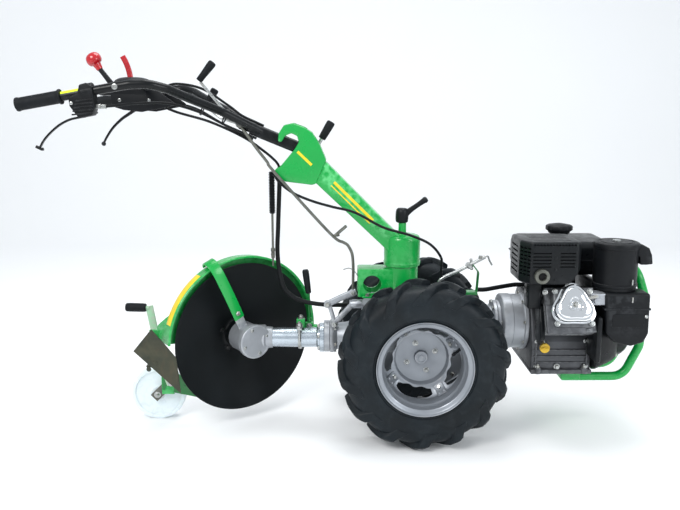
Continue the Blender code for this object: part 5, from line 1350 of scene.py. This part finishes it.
def make_crankcase():
    engine = settings().engine
    x0, x1 = BLOCK
    profile = rounded_outline([(-0.113, 0.206), (-0.113, 0.3), (-0.08, 0.39), (-0.05, 0.429), (0.1, 0.429),
        (0.124, 0.4), (0.124, 0.206)], 0.012)
    parts = [slab(profile, x0 + 0.001, x1 - 0.001, "X", edge=0.006), brick((x0, x1), (-0.124, 0.13),
        (0.2002, 0.214), 0.003)]
    for z in (0.232, 0.252, 0.272):
        parts.append(brick((x0 + 0.008, x1 - 0.008), (-0.117, -0.11), (z, z + 0.0045), 0.0015))
        parts.append(brick((x0 + 0.008, x1 - 0.008), (0.121, 0.128), (z, z + 0.0045), 0.0015))
    for x in (x0 + 0.012, x1 - 0.018):
        parts.append(brick((x, x + 0.006), (-0.118, -0.108), (0.212, 0.296), 0.002))
    for x in (x0 + 0.022, x1 - 0.022):
        for y in (-0.117, 0.123):
            parts.append(drum(at(x, y, 0.201), at(x, y, 0.219), 0.012, 0.002, 28))
    parts.append(drum(at(0.372, -0.105, 0.285), at(0.372, -0.12, 0.285), 0.017, 0.003, 28))
    parts.append(drum(at(0.415, -0.105, 0.222), at(0.415, -0.117, 0.222), 0.011, 0.002, 28))
    make_piece("crankcase", merged(*parts), "root", "dark aluminium", ("engine_block",), 30)

    fins = [brick((x0 + 0.026, x1 - 0.026), (-0.19, -0.06), (CRANK - 0.05, CRANK + 0.05), 0.012)]
    pitch = 0.072 / engine.fins
    for k in range(engine.fins):
        y = -0.192 + pitch * k
        fins.append(brick((x0 + 0.02, x1 - 0.02), (y, y + engine.fin_thickness),
            (CRANK - 0.066, CRANK + 0.066), 0.0008, 1))
    fins.append(brick((x0 + 0.034, x1 - 0.034), (-0.2262, -0.196), (CRANK - 0.058, CRANK + 0.06), 0.009))
    fins.append(brick((x0 + 0.014, x1 - 0.06), (-0.22, -0.208), (CRANK - 0.074, CRANK + 0.01), 0.003))
    make_piece("cylinder_head", banked(merged(*fins)), "root", "dark aluminium", (), 30)

    def three_sided(y, size):
        reaches = [(math.tau * i / 108, 0.0555 + 0.0078 * math.cos(3 * math.tau * i / 108 + math.pi / 2))
            for i in range(108)]
        return [at(0.425 + r * size * math.cos(a), y, CRANK + 0.004 + r * size * math.sin(a))
            for a, r in reaches]

    rings = [three_sided(y, size) for y, size in ((-0.2264, 1.07), (-0.23, 1.08), (-0.2312, 1.07),
        (-0.232, 1), (-0.244, 0.985), (-0.249, 0.955), (-0.252, 0.9), (-0.2526, 0.84), (-0.2522, 0.8),
        (-0.254, 0.76), (-0.2556, 0.66), (-0.2562, 0.5), (-0.2562, 0.36), (-0.2554, 0.345), (-0.252, 0.33),
        (-0.252, 0.24), (-0.254, 0.225), (-0.2548, 0.18))]
    make_piece("chrome_cover", banked(loft(rings)), "root", "chrome", ("valve_cover",), 24)
    bolts = [banked(hex_bolt(at(0.425, -0.2546, CRANK + 0.004), OUT, 0.012))]
    for x, z in ((0.377, 0.048), (0.477, 0.048), (0.377, -0.046), (0.477, -0.046)):
        bolts.append(banked(hex_bolt(at(x, -0.2262, CRANK + z), OUT, 0.011)))
    for x in (x0 + 0.022, x1 - 0.022):
        for y in (-0.117, 0.123):
            bolts.append(hex_bolt(at(x, y, 0.219), UP, 0.012, stud=0.003))
    bolts.append(hex_bolt(at(0.415, -0.1168, 0.222), OUT, 0.012))
    for x, z in ((0.352, 0.3), (0.5, 0.302), (0.352, 0.222), (0.504, 0.222)):
        bolts.append(hex_bolt(at(x, -0.1135, z), OUT, 0.009))
    bolts.append(rod([(0.372, -0.112, 0.292), (0.366, -0.118, 0.312), (0.36, -0.116, 0.338)], 0.0068))
    bolts.append(rod([(0.352, -0.135, 0.4), (0.36, -0.16, 0.408), (0.385, -0.17, 0.404)], 0.004))
    make_piece("crankcase_bolts", merged(*bolts), "root", "zinc")
    cap = [(0, 0), (0.0105, 0), (0.0105, 0.006), (0.0145, 0.0065), (0.015, 0.008), (0.015, 0.0125),
        (0.014, 0.0142), (0.006, 0.0142), (0.0055, 0.0165), (0, 0.017)]
    make_piece("oil_filler_cap", merged(lathe(cap, at(0.372, -0.119, 0.285), OUT, 32), brick((0.36, 0.384),
        (-0.138, -0.133), (0.283, 0.287), 0.001)), "root", "oil cap")
    cover = merged(slab(rounded_outline([(-0.15, 0.425), (-0.172, 0.38), (-0.186, 0.33), (-0.15, 0.3),
        (-0.118, 0.33), (-0.1, 0.425)], 0.01), 0.342, 0.356, "X", edge=0.004), brick((0.5, 0.516),
        (-0.205, -0.12), (0.262, 0.4), 0.006))
    make_piece("cylinder_shroud", cover, "root", "cover")


def make_engine_covers():
    engine = settings().engine
    fan = [(0.15, 0.23), (0.15, 0.43), (0.1, 0.478), (-0.09, 0.478), (-0.14, 0.43), (-0.165, 0.33),
        (-0.14, 0.225), (-0.1, 0.205), (0.11, 0.205)]
    shroud = merged(slab(rounded_outline(fan, 0.045, 8), 0.5203, 0.598, "X", edge=0.014),
        slab(rounded_outline([(y * 0.62, CRANK + (z - CRANK) * 0.62) for y, z in fan], 0.03, 8), 0.59,
        0.5988, "X", edge=0.002))
    for vertex in shroud.verts:
        narrowed = 1 - 0.2 * max(0, min(1, (vertex.co.x - ORIGIN.x - 0.53) / 0.068))
        vertex.co.y = ORIGIN.y + (vertex.co.y - ORIGIN.y) * narrowed
        vertex.co.z = CRANK + (vertex.co.z - CRANK) * narrowed
    make_piece("fan_shroud", shroud, "root", "cover", ("fan_housing",), 30)
    starter = [(0, 0.5985), (0.111, 0.5985), (0.1118, 0.6), (0.111, 0.62), (0.108, 0.63), (0.1, 0.64),
        (0.09, 0.645), (0.07, 0.647), (0.04, 0.6474), (0.038, 0.644), (0, 0.644)]
    body = lathe(starter, at(0, 0, CRANK), FORE, 96)
    slots = []
    for k in range(24):
        angle = math.tau * k / 24
        spoke = Vector((0, math.cos(angle), math.sin(angle)))
        across = Vector((0, -math.sin(angle), math.cos(angle)))
        slots.append(sweep([at(0.648, 0, CRANK) + spoke * 0.05, at(0.648, 0, CRANK) + spoke * 0.086],
            bar_section(0.007, 0.012, 0.0015), across=across))
    make_piece("starter_cover", carved(body, merged(*slots)), "root", "cover", ("recoil_starter",), 30)
    pull = merged(brick((0.63, 0.648), (0.084, 0.128), (0.418, 0.432), 0.005), drum(at(0.636, 0.078, 0.425),
        at(0.636, 0.09, 0.425), 0.008, 0.002, 24))
    make_piece("starter_pull", pull, "root", "plastic")
    screws = [bolts_round(at(0.6, 0, CRANK), FORE, 0.1165, 4, 0.008, 0.75)]
    for y, z in ((0.108, 0.267), (0.106, 0.403), (-0.1, 0.412), (-0.098, 0.252)):
        screws.append(hex_bolt(at(0.5965, y, z), FORE, 0.009))
    make_piece("fan_screws", merged(*screws), "root", "zinc")

    tank = merged(brick((0.325, 0.61), (-0.02, 0.19), (0.482, 0.588), 0.026, 6), brick((0.324, 0.611),
        (-0.0215, 0.1915), (0.529, 0.5345), 0.0025), brick((0.36, 0.5), (0.012, 0.112), (0.4303, 0.486),
        0.006), lathe([(0, 0.582), (0.04, 0.582), (0.038, 0.587), (0.033, 0.59), (0.0285, 0.596),
        (0.027, 0.6064), (0, 0.6064)], at(0.452, 0.06, 0), UP, 56))
    make_piece("tank_shell", tank, "root", "cover", ("fuel_tank",), 30)
    lobes = 12
    rings = []
    for height, radius, wave in ((0.6063, 0.031, 0), (0.608, 0.033, 0), (0.613, 0.0345, 0),
            (0.616, 0.0405, 0.0018), (0.6185, 0.0418, 0.0022), (0.627, 0.0418, 0.0022),
            (0.63, 0.0405, 0.0018), (0.632, 0.037, 0.0006), (0.6345, 0.025, 0), (0.637, 0.012, 0),
            (0.6376, 0.004, 0)):
        rings.append([at(0.452, 0.06, height)
            + Vector((math.cos(a), math.sin(a), 0)) * (radius - wave * (0.5 + 0.5 * math.cos(lobes * a)))
            for a in (math.tau * i / 144 for i in range(144))])
    make_piece("filler_cap", loft(rings), "root", "plastic", ("fuel_cap",), 40)

    plan = rounded_outline([(0.275, -0.16), (0.298, -0.205), (0.432, -0.205), (0.445, -0.19),
        (0.445, -0.045), (0.275, -0.045)], 0.012, 6)
    guard = slab(plan, 0.497, 0.622, "Z", edge=0.009)
    corner = slab([(0.392, 0.48), (0.46, 0.48), (0.46, 0.562)], -0.22, -0.15)
    guard = carved(guard, corner)
    cuts = []
    for k in range(5):
        z = 0.588 - k * 0.0098
        cuts.append(brick((0.304, 0.356), (-0.215, -0.198), (z, z + 0.0036), 0))
        cuts.append(brick((0.382, 0.424), (-0.215, -0.198), (z, z + 0.0036), 0))
    for k in range(14):
        x = 0.306 + k * 0.0088
        cuts.append(brick((x, x + 0.005), (-0.215, -0.196), (0.611, 0.6155), 0))
    along = Vector((0.023, -0.045, 0)).normalized()
    rows = engine.louvres
    for column in range(3):
        for row in range(rows):
            z = 0.602 - row * 0.088 / rows
            centre = at(0.275, -0.16, z) + along * (0.0095 + column * 0.016)
            cut = sweep([centre - along * 0.006, centre + along * 0.006], [(0.01, -0.0022), (0.01, 0.0022),
                (-0.01, 0.0022), (-0.01, -0.0022)], across=Vector((-along.y, along.x, 0)))
            cuts.append(cut)
    for row in range(6):
        z = 0.596 - row * 0.015
        cuts.append(brick((0.268, 0.283), (-0.14, -0.065), (z, z + 0.005), 0))
    for row in range(5):
        y = -0.175 + row * 0.025
        cuts.append(brick((0.31, 0.42), (y, y + 0.0055), (0.615, 0.63), 0))
    guard = carved(guard, merged(*cuts))
    neck = brick((0.304, 0.345), (-0.165, -0.115), (0.415, 0.5), 0.008)
    make_piece("silencer_guard", merged(guard, neck), "root", "cover", ("muffler_guard",), 26)
    outlet = [(0.0112, 0), (0.0205, 0), (0.0215, 0.002), (0.0215, 0.014), (0.0205, 0.0162), (0.0178, 0.017),
        (0.0125, 0.017), (0.0112, 0.015)]
    make_piece("exhaust_outlet", lathe(outlet, at(0.33, -0.201, 0.524), OUT, 56, ring=True), "root",
        "dull zinc", (), 28)
    # The plug at the back of the outlet is near-black: painted shade for the depth of the exhaust hole.
    make_piece("exhaust_bore_painted_shade", lathe([(0, 0), (0.0114, 0), (0.0114, 0.006), (0, 0.006)],
        at(0.33, -0.202, 0.524), OUT, 32), "root", "void")
    guard_screws = [lathe([(0.004, 0), (0.0038, 0.001), (0.0022, 0.0018), (0, 0.002)], at(x, -0.205, z), OUT,
        18) for x, z in ((0.369, 0.576), (0.369, 0.542), (0.369, 0.512))]
    guard_screws += [hex_bolt(at(0.295, -0.15, 0.497), (0, 0, -1), 0.009), hex_bolt(at(0.43, -0.15, 0.497),
        (0, 0, -1), 0.009)]
    make_piece("guard_screws", merged(*guard_screws), "root", "cover")

    x, y = 0.569, -0.124
    can = [(0, 0.47), (0.061, 0.47), (0.0625, 0.4715), (0.0625, 0.48), (0.065, 0.482), (0.0652, 0.489),
        (0.063, 0.4905), (0.063, 0.593), (0.0655, 0.5945), (0.066, 0.5965), (0.066, 0.604), (0.0645, 0.6085),
        (0.06, 0.6108), (0.052, 0.6112), (0.05, 0.6095), (0.046, 0.6095), (0.044, 0.6118), (0, 0.612)]
    spout = slab(rounded_outline([(0.6, 0.606), (0.635, 0.606), (0.655, 0.595), (0.664, 0.575),
        (0.668, 0.548), (0.65, 0.546), (0.632, 0.546), (0.628, 0.57), (0.6, 0.58)], 0.004), -0.155, -0.065,
        edge=0.006)
    can = merged(lathe(can, at(x, y, 0), UP, 96), spout)
    make_piece("air_canister", can, "root", "plastic", ("air_cleaner",), 30)
    box = slab(rounded_outline([(0.52, 0.4697), (0.652, 0.4697), (0.6545, 0.35), (0.642, 0.322),
        (0.605, 0.3105), (0.556, 0.322), (0.53, 0.35)], 0.01, 5), -0.196, -0.124, edge=0.009)
    seam = slab(rounded_outline([(0.519, 0.426), (0.655, 0.426), (0.655, 0.42), (0.519, 0.42)], 0.001),
        -0.1975, -0.123, edge=0.001)
    panel = slab(rounded_outline([(0.545, 0.408), (0.638, 0.408), (0.638, 0.37), (0.545, 0.37)], 0.004),
        -0.1972, -0.194, edge=0.001)
    make_piece("intake_box", merged(box, seam, panel), "root", "plastic", ("air_duct",), 30)
    studs = []
    for sx, sz in ((0.6, 0.452), (0.601, 0.501)):
        near = -0.196 if sz < 0.47 else -0.183
        studs.append(sweep([at(sx, near, sz - 0.009), at(sx, near, sz + 0.007)],
            bar_section(0.0042, 0.003, 0.001), across=FORE))
    studs.append(lathe([(0.0055, 0), (0.0052, 0.0014), (0.0034, 0.003), (0, 0.0034)],
        at(0.644, -0.1955, 0.401), OUT, 20))
    studs.append(lathe([(0.012, 0.6118), (0.012, 0.615), (0.007, 0.616), (0, 0.6162)], at(x, y, 0), UP, 32))
    make_piece("canister_fittings", merged(*studs), "root", "zinc")

    carb = [brick((0.48, 0.526), (-0.19, -0.14), (0.433, 0.468), 0.004), drum(at(0.498, -0.188, 0.448),
        at(0.498, -0.201, 0.448), 0.01, 0.002, 28), drum(at(0.46, -0.165, 0.45), at(0.5, -0.165, 0.45),
        0.013, 0.002, 28), brick((0.39, 0.43), (-0.16, -0.12), (0.435, 0.46), 0.004)]
    make_piece("carburettor_body", merged(*carb), "root", "aluminium", ("carburettor",))
    arms = [sweep(placed([(0.455, -0.193, 0.452), (0.498, -0.201, 0.464)]),
        bar_section(0.0024, 0.009, 0.001), across=ACROSS), rod([(0.375, -0.185, 0.46),
        (0.415, -0.195, 0.472), (0.46, -0.195, 0.456)], 0.0016, 10, 0.004)]
    coil = [at(0.39 + 0.0006 * k, -0.185 + 0.0042 * math.sin(k * 0.785), 0.45 + 0.0042 * math.cos(k * 0.785))
        for k in range(72)]
    arms.append(sweep(coil, ring_section(0.0009, 8)))
    for bx, by, bz in ((0.35, -0.178, 0.47), (0.43, -0.188, 0.456), (0.47, -0.202, 0.44)):
        arms.append(hex_bolt(at(bx, by, bz), OUT, 0.01))
    make_piece("throttle_parts", merged(*arms), "root", "zinc")

    half, low = 0.06, 0.171
    loop = [(0.45, -half, low), (0.64, -half, low), (0.686, -half, 0.27), (0.69, -half, 0.43),
        (0.662, -half, 0.51)]
    far = [(px, -py, pz) for px, py, pz in reversed(loop)]
    hoop = sweep(bent(placed(loop + far), 0.055, 12), ring_section(0.0135, 32))
    plate = [brick((0.44, 0.5), (-0.085, 0.085), (low - 0.004, 0.1997), 0.004), brick((0.425, 0.515),
        (-0.095, 0.095), (0.193, 0.1999), 0.002)]
    make_piece("bumper_tube", merged(hoop, *plate), "root", "green", ("front_guard",))


# Rods, cables and hoses ----------------------------------

def make_lines():
    y = -0.03
    selector = merged(lathe([(0, 0), (0.0135, 0), (0.014, 0.001), (0.014, 0.03), (0.012, 0.033),
        (0.012, 0.04), (0, 0.0405)], at(-0.1753, y, 0.398), AFT, 32), sweep(bent(placed([(-0.195, y, 0.438),
        (-0.245, y, 0.416), (-0.29, y, 0.394)]), 0.02), bar_section(0.012, 0.02, 0.004, 4), across=ACROSS),
        sweep(placed([(-0.28, y, 0.402), (-0.26, y, 0.332)]), bar_section(0.009, 0.013, 0.003),
        across=ACROSS), sweep(placed([(-0.268, y, 0.33), (-0.205, y, 0.398)]),
        bar_section(0.011, 0.017, 0.004), across=ACROSS), drum(at(-0.284, y - 0.01, 0.397),
        at(-0.284, y + 0.01, 0.397), 0.011, 0.002, 28), drum(at(-0.205, y - 0.009, 0.434),
        at(-0.205, y + 0.009, 0.434), 0.0105, 0.002, 28), drum(at(-0.262, y - 0.01, 0.333),
        at(-0.262, y + 0.01, 0.333), 0.01, 0.002, 28))
    make_piece("selector_levers", selector, "root", "aluminium", ("selector_linkage",))
    pins = [hex_bolt(at(-0.284, y - 0.01, 0.397), OUT, 0.011), hex_bolt(at(-0.262, y - 0.01, 0.333), OUT,
        0.011), hex_bolt(at(-0.205, y - 0.009, 0.434), OUT, 0.01), rod([(-0.235, y - 0.004, 0.508),
        (-0.215, y - 0.006, 0.512), (-0.195, y - 0.006, 0.496), (-0.186, y - 0.006, 0.47)], 0.0016, 10,
        0.004)]
    make_piece("selector_pins", merged(*pins), "root", "zinc")

    clutch = [brick((0.05, 0.086), (-0.036, -0.004), (0.4204, 0.452), 0.005),
        sweep(smooth_path(placed([(0.064, -0.02, 0.448), (0.069, -0.02, 0.474), (0.13, -0.02, 0.504),
        (0.204, -0.02, 0.544)]), 0.006), ring_section(0.0052, 24)), drum(at(0.154, -0.034, 0.517),
        at(0.154, -0.006, 0.517), 0.0085, 0.002, 28), drum(at(0.162, -0.03, 0.506), at(0.162, -0.01, 0.536),
        0.0045, 0.001, 20), rod([(0.204, -0.02, 0.544), (0.212, -0.02, 0.546), (0.218, -0.02, 0.532),
        (0.226, -0.02, 0.518)], 0.0026, 14, 0.003), hex_bolt(at(0.19, -0.02, 0.541), UP, 0.01)]
    make_piece("clutch_rod", merged(*clutch), "root", "zinc", ("clutch_linkage",))
    bracket = merged(sweep(bent(placed([(0.166, -0.018, 0.52), (0.186, -0.01, 0.495), (0.186, 0.004, 0.44),
        (0.184, 0.004, 0.426)]), 0.02), bar_section(0.022, 0.004, 0.0012), across=ACROSS),
        brick((0.13, 0.186), (-0.014, 0.022), (0.4204, 0.43), 0.002))
    # The bracket takes the darker copy of the green paint: painted shade.
    make_piece("clutch_bracket", bracket, "root", "green in painted shade")

    # The stay with its spring boot, under the column's head.
    x, y = -0.4521, -0.012
    boot = [(0, 0.679), (0.0072, 0.679)]
    for k in range(26):
        z = 0.681 + k * 0.0048
        boot += [(0.0068, z), (0.0096, z + 0.0014), (0.0096, z + 0.003), (0.0068, z + 0.0046)]
    boot += [(0.006, 0.807), (0, 0.807)]
    make_piece("spring_boot", lathe(boot, at(x, y, 0), UP, 28), "column", "plastic", ("tension_rod",), 40)
    stay = [(0, 0.515), (0.003, 0.515), (0.003, 0.538), (0.0052, 0.54), (0.0058, 0.546), (0.0058, 0.556),
        (0.0052, 0.56), (0.0066, 0.562), (0.0066, 0.57), (0.0036, 0.573), (0.0036, 0.68), (0, 0.68)]
    make_piece("stay_rod", merged(lathe(stay, at(x, y, 0), UP, 24), hex_bolt(at(x, y - 0.005, 0.552), OUT,
        0.008)), "column", "dull zinc")

    def line(name, body, look, points, radius, stands_for=(), sides=20):
        make_piece(name, rod(points, radius, sides), body, look, stands_for, 60)

    hose = [(-0.43, 0.012, 0.7845), (-0.432, 0.013, 0.74), (-0.437, 0.018, 0.64), (-0.44, 0.016, 0.54),
        (-0.425, 0.01, 0.45), (-0.395, 0.01, 0.412), (-0.35, 0.008, 0.394), (-0.285, 0.004, 0.386),
        (-0.2, 0.004, 0.386), (-0.1755, 0.004, 0.386)]
    line("lift_hose", ("root", "column", at(-0.44, 0.016, 0.44), at(-0.43, 0.012, 0.76)), "hose", hose,
        0.007, ("pto_hose",), 24)
    line("selector_rod", ("root", "column", at(-0.2045, -0.03, 0.445), at(-0.2287, -0.045, 0.59)),
        "dull zinc", [(-0.23, -0.045, 0.5918), (-0.2215, -0.045, 0.586), (-0.2085, -0.043, 0.56),
        (-0.2045, -0.038, 0.52), (-0.2045, -0.032, 0.48), (-0.2045, -0.03, 0.444)], 0.0045,
        ("gear_rod_lower",))
    line("shift_rod", ("column", "handlebar", at(-0.46, -0.046, 0.833), at(-0.538, -0.026, 0.938)),
        "dull zinc", [(-0.545, -0.0235, 0.947), (-0.525, -0.029, 0.9215), (-0.495, -0.039, 0.88),
        (-0.462, -0.046, 0.838), (-0.44, -0.048, 0.807), (-0.276, -0.048, 0.624), (-0.23, -0.045, 0.592)],
        0.0045, ("gear_rod_upper",))
    make_piece("shift_rod_eye", drum(at(-0.545, -0.03, 0.947), at(-0.545, -0.019, 0.947), 0.0075, 0.001, 20),
        "handlebar", "dull zinc")
    cross = [drum(at(-0.262, -0.058, 0.616), at(-0.226, -0.038, 0.644), 0.0048, 0.001, 20),
        hex_bolt(at(-0.252, -0.054, 0.621), (-0.5, -0.6, -0.4), 0.0095)]
    make_piece("shift_rod_cross", merged(*cross), "column", "dull zinc")
    line("clutch_line", ("root", "column", at(0.069, -0.02, 0.482), at(-0.08, -0.075, 0.634)), "hose",
        [(-0.444, -0.034, 0.8), (-0.425, -0.04, 0.775), (-0.385, -0.046, 0.745), (-0.33, -0.05, 0.722),
        (-0.27, -0.054, 0.705), (-0.2, -0.062, 0.688), (-0.116, -0.072, 0.645), (-0.036, -0.078, 0.622),
        (0.025, -0.074, 0.594), (0.062, -0.055, 0.55), (0.068, -0.028, 0.51), (0.069, -0.02, 0.48)], 0.004,
        ("clutch_cable",))
    line("engine_hose", "root", "hose", [(0.188, 0.006, 0.434), (0.215, 0.008, 0.434), (0.265, 0.03, 0.437),
        (0.315, 0.058, 0.4374), (0.335, 0.06, 0.4374), (0.3595, 0.06, 0.4374)], 0.007, ("throttle_hose",),
        24)
    line("throttle_line", "handlebar", "hose", [(-0.786, -0.03, 1.05), (-0.77, -0.03, 1.051),
        (-0.73, -0.018, 1.066), (-0.655, -0.004, 1.052), (-0.58, 0, 1.004), (-0.54, 0, 0.974),
        (-0.5, 0, 0.955), (-0.474, 0, 0.943)], 0.0038, ("throttle_cable",))
    line("brake_line", ("column", "handlebar", at(-0.436, 0.012, 0.822), at(-0.53, 0.016, 0.905)), "hose",
        [(-0.8, 0.05, 1.032), (-0.798, 0.05, 1.01), (-0.745, 0.035, 0.985), (-0.64, 0.022, 0.955),
        (-0.54, 0.016, 0.91), (-0.478, 0.014, 0.868), (-0.44, 0.012, 0.835), (-0.43, 0.012, 0.815),
        (-0.43, 0.012, 0.8007)], 0.004, ("brake_cable",))
    line("switch_line", "handlebar", "hose", [(-0.876, -0.25, 0.999), (-0.845, -0.246, 1.002),
        (-0.79, -0.225, 1.008), (-0.72, -0.18, 1.008), (-0.65, -0.11, 0.985), (-0.59, -0.05, 0.95),
        (-0.535, -0.02, 0.923), (-0.496, -0.012, 0.906)], 0.0036)
    line("lever_line", "handlebar", "hose", [(-0.83, 0.25, 1.009), (-0.8, 0.24, 1.012), (-0.75, 0.2, 1.006),
        (-0.69, 0.13, 0.99), (-0.62, 0.06, 0.956), (-0.56, 0.025, 0.925), (-0.51, 0.014, 0.902)], 0.0036)
    ties = []
    for tx, ty, tz, radius in ((-0.64, -0.093, 0.993, 0.018), (-0.585, -0.03, 0.97, 0.02)):
        ties.append(lathe([(radius, -0.002), (radius + 0.0012, -0.002), (radius + 0.0012, 0.002),
            (radius, 0.002)], at(tx, ty, tz), (0.86, 0.3, -0.42), 28, ring=True))
    make_piece("cable_ties", merged(*ties), "handlebar", "plastic")


# Stage ---------------------------------------------------

def soft_light(name, place, target, size, power, colour):
    lamp = bpy.data.lights.new(name, "AREA")
    lamp.shape = "DISK"
    lamp.size = size
    lamp.energy = power
    lamp.color = colour
    made = bpy.data.objects.new(name, lamp)
    made.location = place
    made.rotation_euler = (Vector(target) - Vector(place)).to_track_quat("-Z", "Y").to_euler()
    bpy.context.scene.collection.objects.link(made)


def make_stage():
    stage = settings().stage
    scene = bpy.context.scene
    profile = [(-6, 0), (3.2, 0)]
    profile += [(3.2 + 1.2 * math.sin(a), 1.2 - 1.2 * math.cos(a)) for a in (math.pi / 2 * k / 24
        for k in range(1, 25))] + [(4.4, 6)]
    sheet = bmesh.new()
    rows = [[sheet.verts.new((x, y, z)) for x in (-9, 9)] for y, z in profile]
    for low, high in zip(rows, rows[1:]):
        sheet.faces.new((low[0], low[1], high[1], high[0]))
    mesh = bpy.data.meshes.new("studio_floor")
    sheet.to_mesh(mesh)
    sheet.free()
    nodes = Nodes("studio floor")
    colour = tuple(stage.floor)
    nodes.join(nodes.mix(nodes.spread(nodes.noise(0.6), 0, 1), shade(colour, 0.985), shade(colour, 1)),
        nodes.socket("Base Color"))
    nodes.socket("Roughness").default_value = 0.9
    nodes.socket("Specular IOR Level").default_value = 0.1
    mesh.materials.append(nodes.material)
    mesh.shade_smooth()
    floor = bpy.data.objects.new("studio_floor", mesh)
    scene.collection.objects.link(floor)

    world = bpy.data.worlds.new("studio")
    world.use_nodes = True
    world.node_tree.nodes["Background"].inputs["Color"].default_value = (0.9, 0.95, 1, 1)
    world.node_tree.nodes["Background"].inputs["Strength"].default_value = 0.72
    scene.world = world
    scene.view_settings.view_transform = "Standard"
    middle = (0, 0, 0.5)
    power = stage.key_power
    soft_light("key_light", (-1.8, -2.8, 3), middle, 1.8, power, (1, 0.99, 0.97))
    soft_light("fill_light", (2.6, -2.2, 1.7), middle, 1.6, power * 0.45, (0.95, 0.98, 1))
    soft_light("top_light", (0.2, 0.5, 3.4), middle, 2.2, power * 0.7, (1, 1, 1))

    lens = bpy.data.cameras.new("camera")
    lens.lens = stage.lens
    lens.sensor_width = 36
    lens.clip_start = 0.05
    camera = bpy.data.objects.new("camera", lens)
    camera.location = (-0.0545, -2.301, stage.camera_height)
    camera.rotation_euler = (math.pi / 2 - stage.camera_pitch, 0, -0.0062)
    scene.collection.objects.link(camera)
    scene.camera = camera


# Operators, panel and registration -----------------------

class TRACTOR_OT_tyres(bpy.types.Operator):
    """Tyres with deep chevron bars"""
    bl_idname = "tractor.tyres"
    bl_label = "Tyres"

    def execute(self, context):
        make_tyres()
        return {"FINISHED"}


class TRACTOR_OT_rims(bpy.types.Operator):
    """Pressed rims with a windowed disc, a bolted hub and a valve"""
    bl_idname = "tractor.rims"
    bl_label = "Rims"

    def execute(self, context):
        make_rims()
        return {"FINISHED"}


class TRACTOR_OT_drive_line(bpy.types.Operator):
    """Gearbox, clutch housing and drive outlet with their ribs and bolts"""
    bl_idname = "tractor.drive_line"
    bl_label = "Drive line"

    def execute(self, context):
        make_drive_line()
        return {"FINISHED"}


class TRACTOR_OT_column(bpy.types.Operator):
    """Swivelling column with its foot, clamp levers and pivot"""
    bl_idname = "tractor.column"
    bl_label = "Column"

    def execute(self, context):
        make_column()
        return {"FINISHED"}


class TRACTOR_OT_handlebar(bpy.types.Operator):
    """Bent tubes, stem and moulded grips"""
    bl_idname = "tractor.handlebar"
    bl_label = "Handlebar"

    def execute(self, context):
        make_handlebar()
        return {"FINISHED"}


class TRACTOR_OT_controls(bpy.types.Operator):
    """Console, levers and the control box on the handlebar"""
    bl_idname = "tractor.controls"
    bl_label = "Controls"

    def execute(self, context):
        make_controls()
        return {"FINISHED"}


class TRACTOR_OT_plough(bpy.types.Operator):
    """Dished disc, its gear case and drive tube, guard and strap"""
    bl_idname = "tractor.plough"
    bl_label = "Plough"

    def execute(self, context):
        make_plough()
        return {"FINISHED"}


class TRACTOR_OT_plough_tail(bpy.types.Operator):
    """Scraper, depth lever and support wheel behind the disc"""
    bl_idname = "tractor.plough_tail"
    bl_label = "Plough tail"

    def execute(self, context):
        make_plough_tail()
        return {"FINISHED"}


class TRACTOR_OT_crankcase(bpy.types.Operator):
    """Crankcase, finned cylinder and chrome valve cover"""
    bl_idname = "tractor.crankcase"
    bl_label = "Crankcase"

    def execute(self, context):
        make_crankcase()
        return {"FINISHED"}


class TRACTOR_OT_engine_covers(bpy.types.Operator):
    """Fan housing, starter, fuel tank, muffler guard and air cleaner"""
    bl_idname = "tractor.engine_covers"
    bl_label = "Engine covers"

    def execute(self, context):
        make_engine_covers()
        return {"FINISHED"}


class TRACTOR_OT_lines(bpy.types.Operator):
    """Shift and clutch linkage, cables and hoses"""
    bl_idname = "tractor.lines"
    bl_label = "Lines"

    def execute(self, context):
        make_lines()
        return {"FINISHED"}


class TRACTOR_OT_stage(bpy.types.Operator):
    """Pale floor, soft lights and the camera"""
    bl_idname = "tractor.stage"
    bl_label = "Stage"

    def execute(self, context):
        make_stage()
        return {"FINISHED"}


PIECES = (TRACTOR_OT_tyres, TRACTOR_OT_rims, TRACTOR_OT_drive_line, TRACTOR_OT_column, TRACTOR_OT_handlebar,
    TRACTOR_OT_controls, TRACTOR_OT_plough, TRACTOR_OT_plough_tail, TRACTOR_OT_crankcase,
    TRACTOR_OT_engine_covers, TRACTOR_OT_lines)


class VIEW3D_PT_tractor(bpy.types.Panel):
    """Builds the tractor's pieces and lists their sizes and colours"""
    bl_label = "Walking tractor"
    bl_idname = "VIEW3D_PT_tractor"
    bl_space_type = "VIEW_3D"
    bl_region_type = "UI"
    bl_category = "Tractor"

    def draw(self, context):
        layout = self.layout
        for group in ("paint", "tyres", "engine", "stage"):
            values = getattr(context.scene.tractor, group)
            box = layout.box()
            box.label(text=group.capitalize())
            for name in values.bl_rna.properties.keys():
                if name not in ("rna_type", "name"):
                    box.prop(values, name)
        for operator in (TRACTOR_OT_stage,) + PIECES:
            layout.operator(operator.bl_idname)


CLASSES = (TractorPaint, TractorTyres, TractorEngine, TractorStage, TractorSettings,
    TRACTOR_OT_stage) + PIECES + (VIEW3D_PT_tractor,)


def register():
    for item in CLASSES:
        bpy.utils.register_class(item)
    bpy.types.Scene.tractor = PointerProperty(type=TractorSettings)


def unregister():
    del bpy.types.Scene.tractor
    for item in reversed(CLASSES):
        bpy.utils.unregister_class(item)


def main():
    register()
    bpy.ops.tractor.stage()
    bpy.ops.tractor.tyres()
    bpy.ops.tractor.rims()
    bpy.ops.tractor.drive_line()
    bpy.ops.tractor.column()
    bpy.ops.tractor.handlebar()
    bpy.ops.tractor.controls()
    bpy.ops.tractor.plough()
    bpy.ops.tractor.plough_tail()
    bpy.ops.tractor.crankcase()
    bpy.ops.tractor.engine_covers()
    bpy.ops.tractor.lines()


if __name__ == "__main__":
    main()
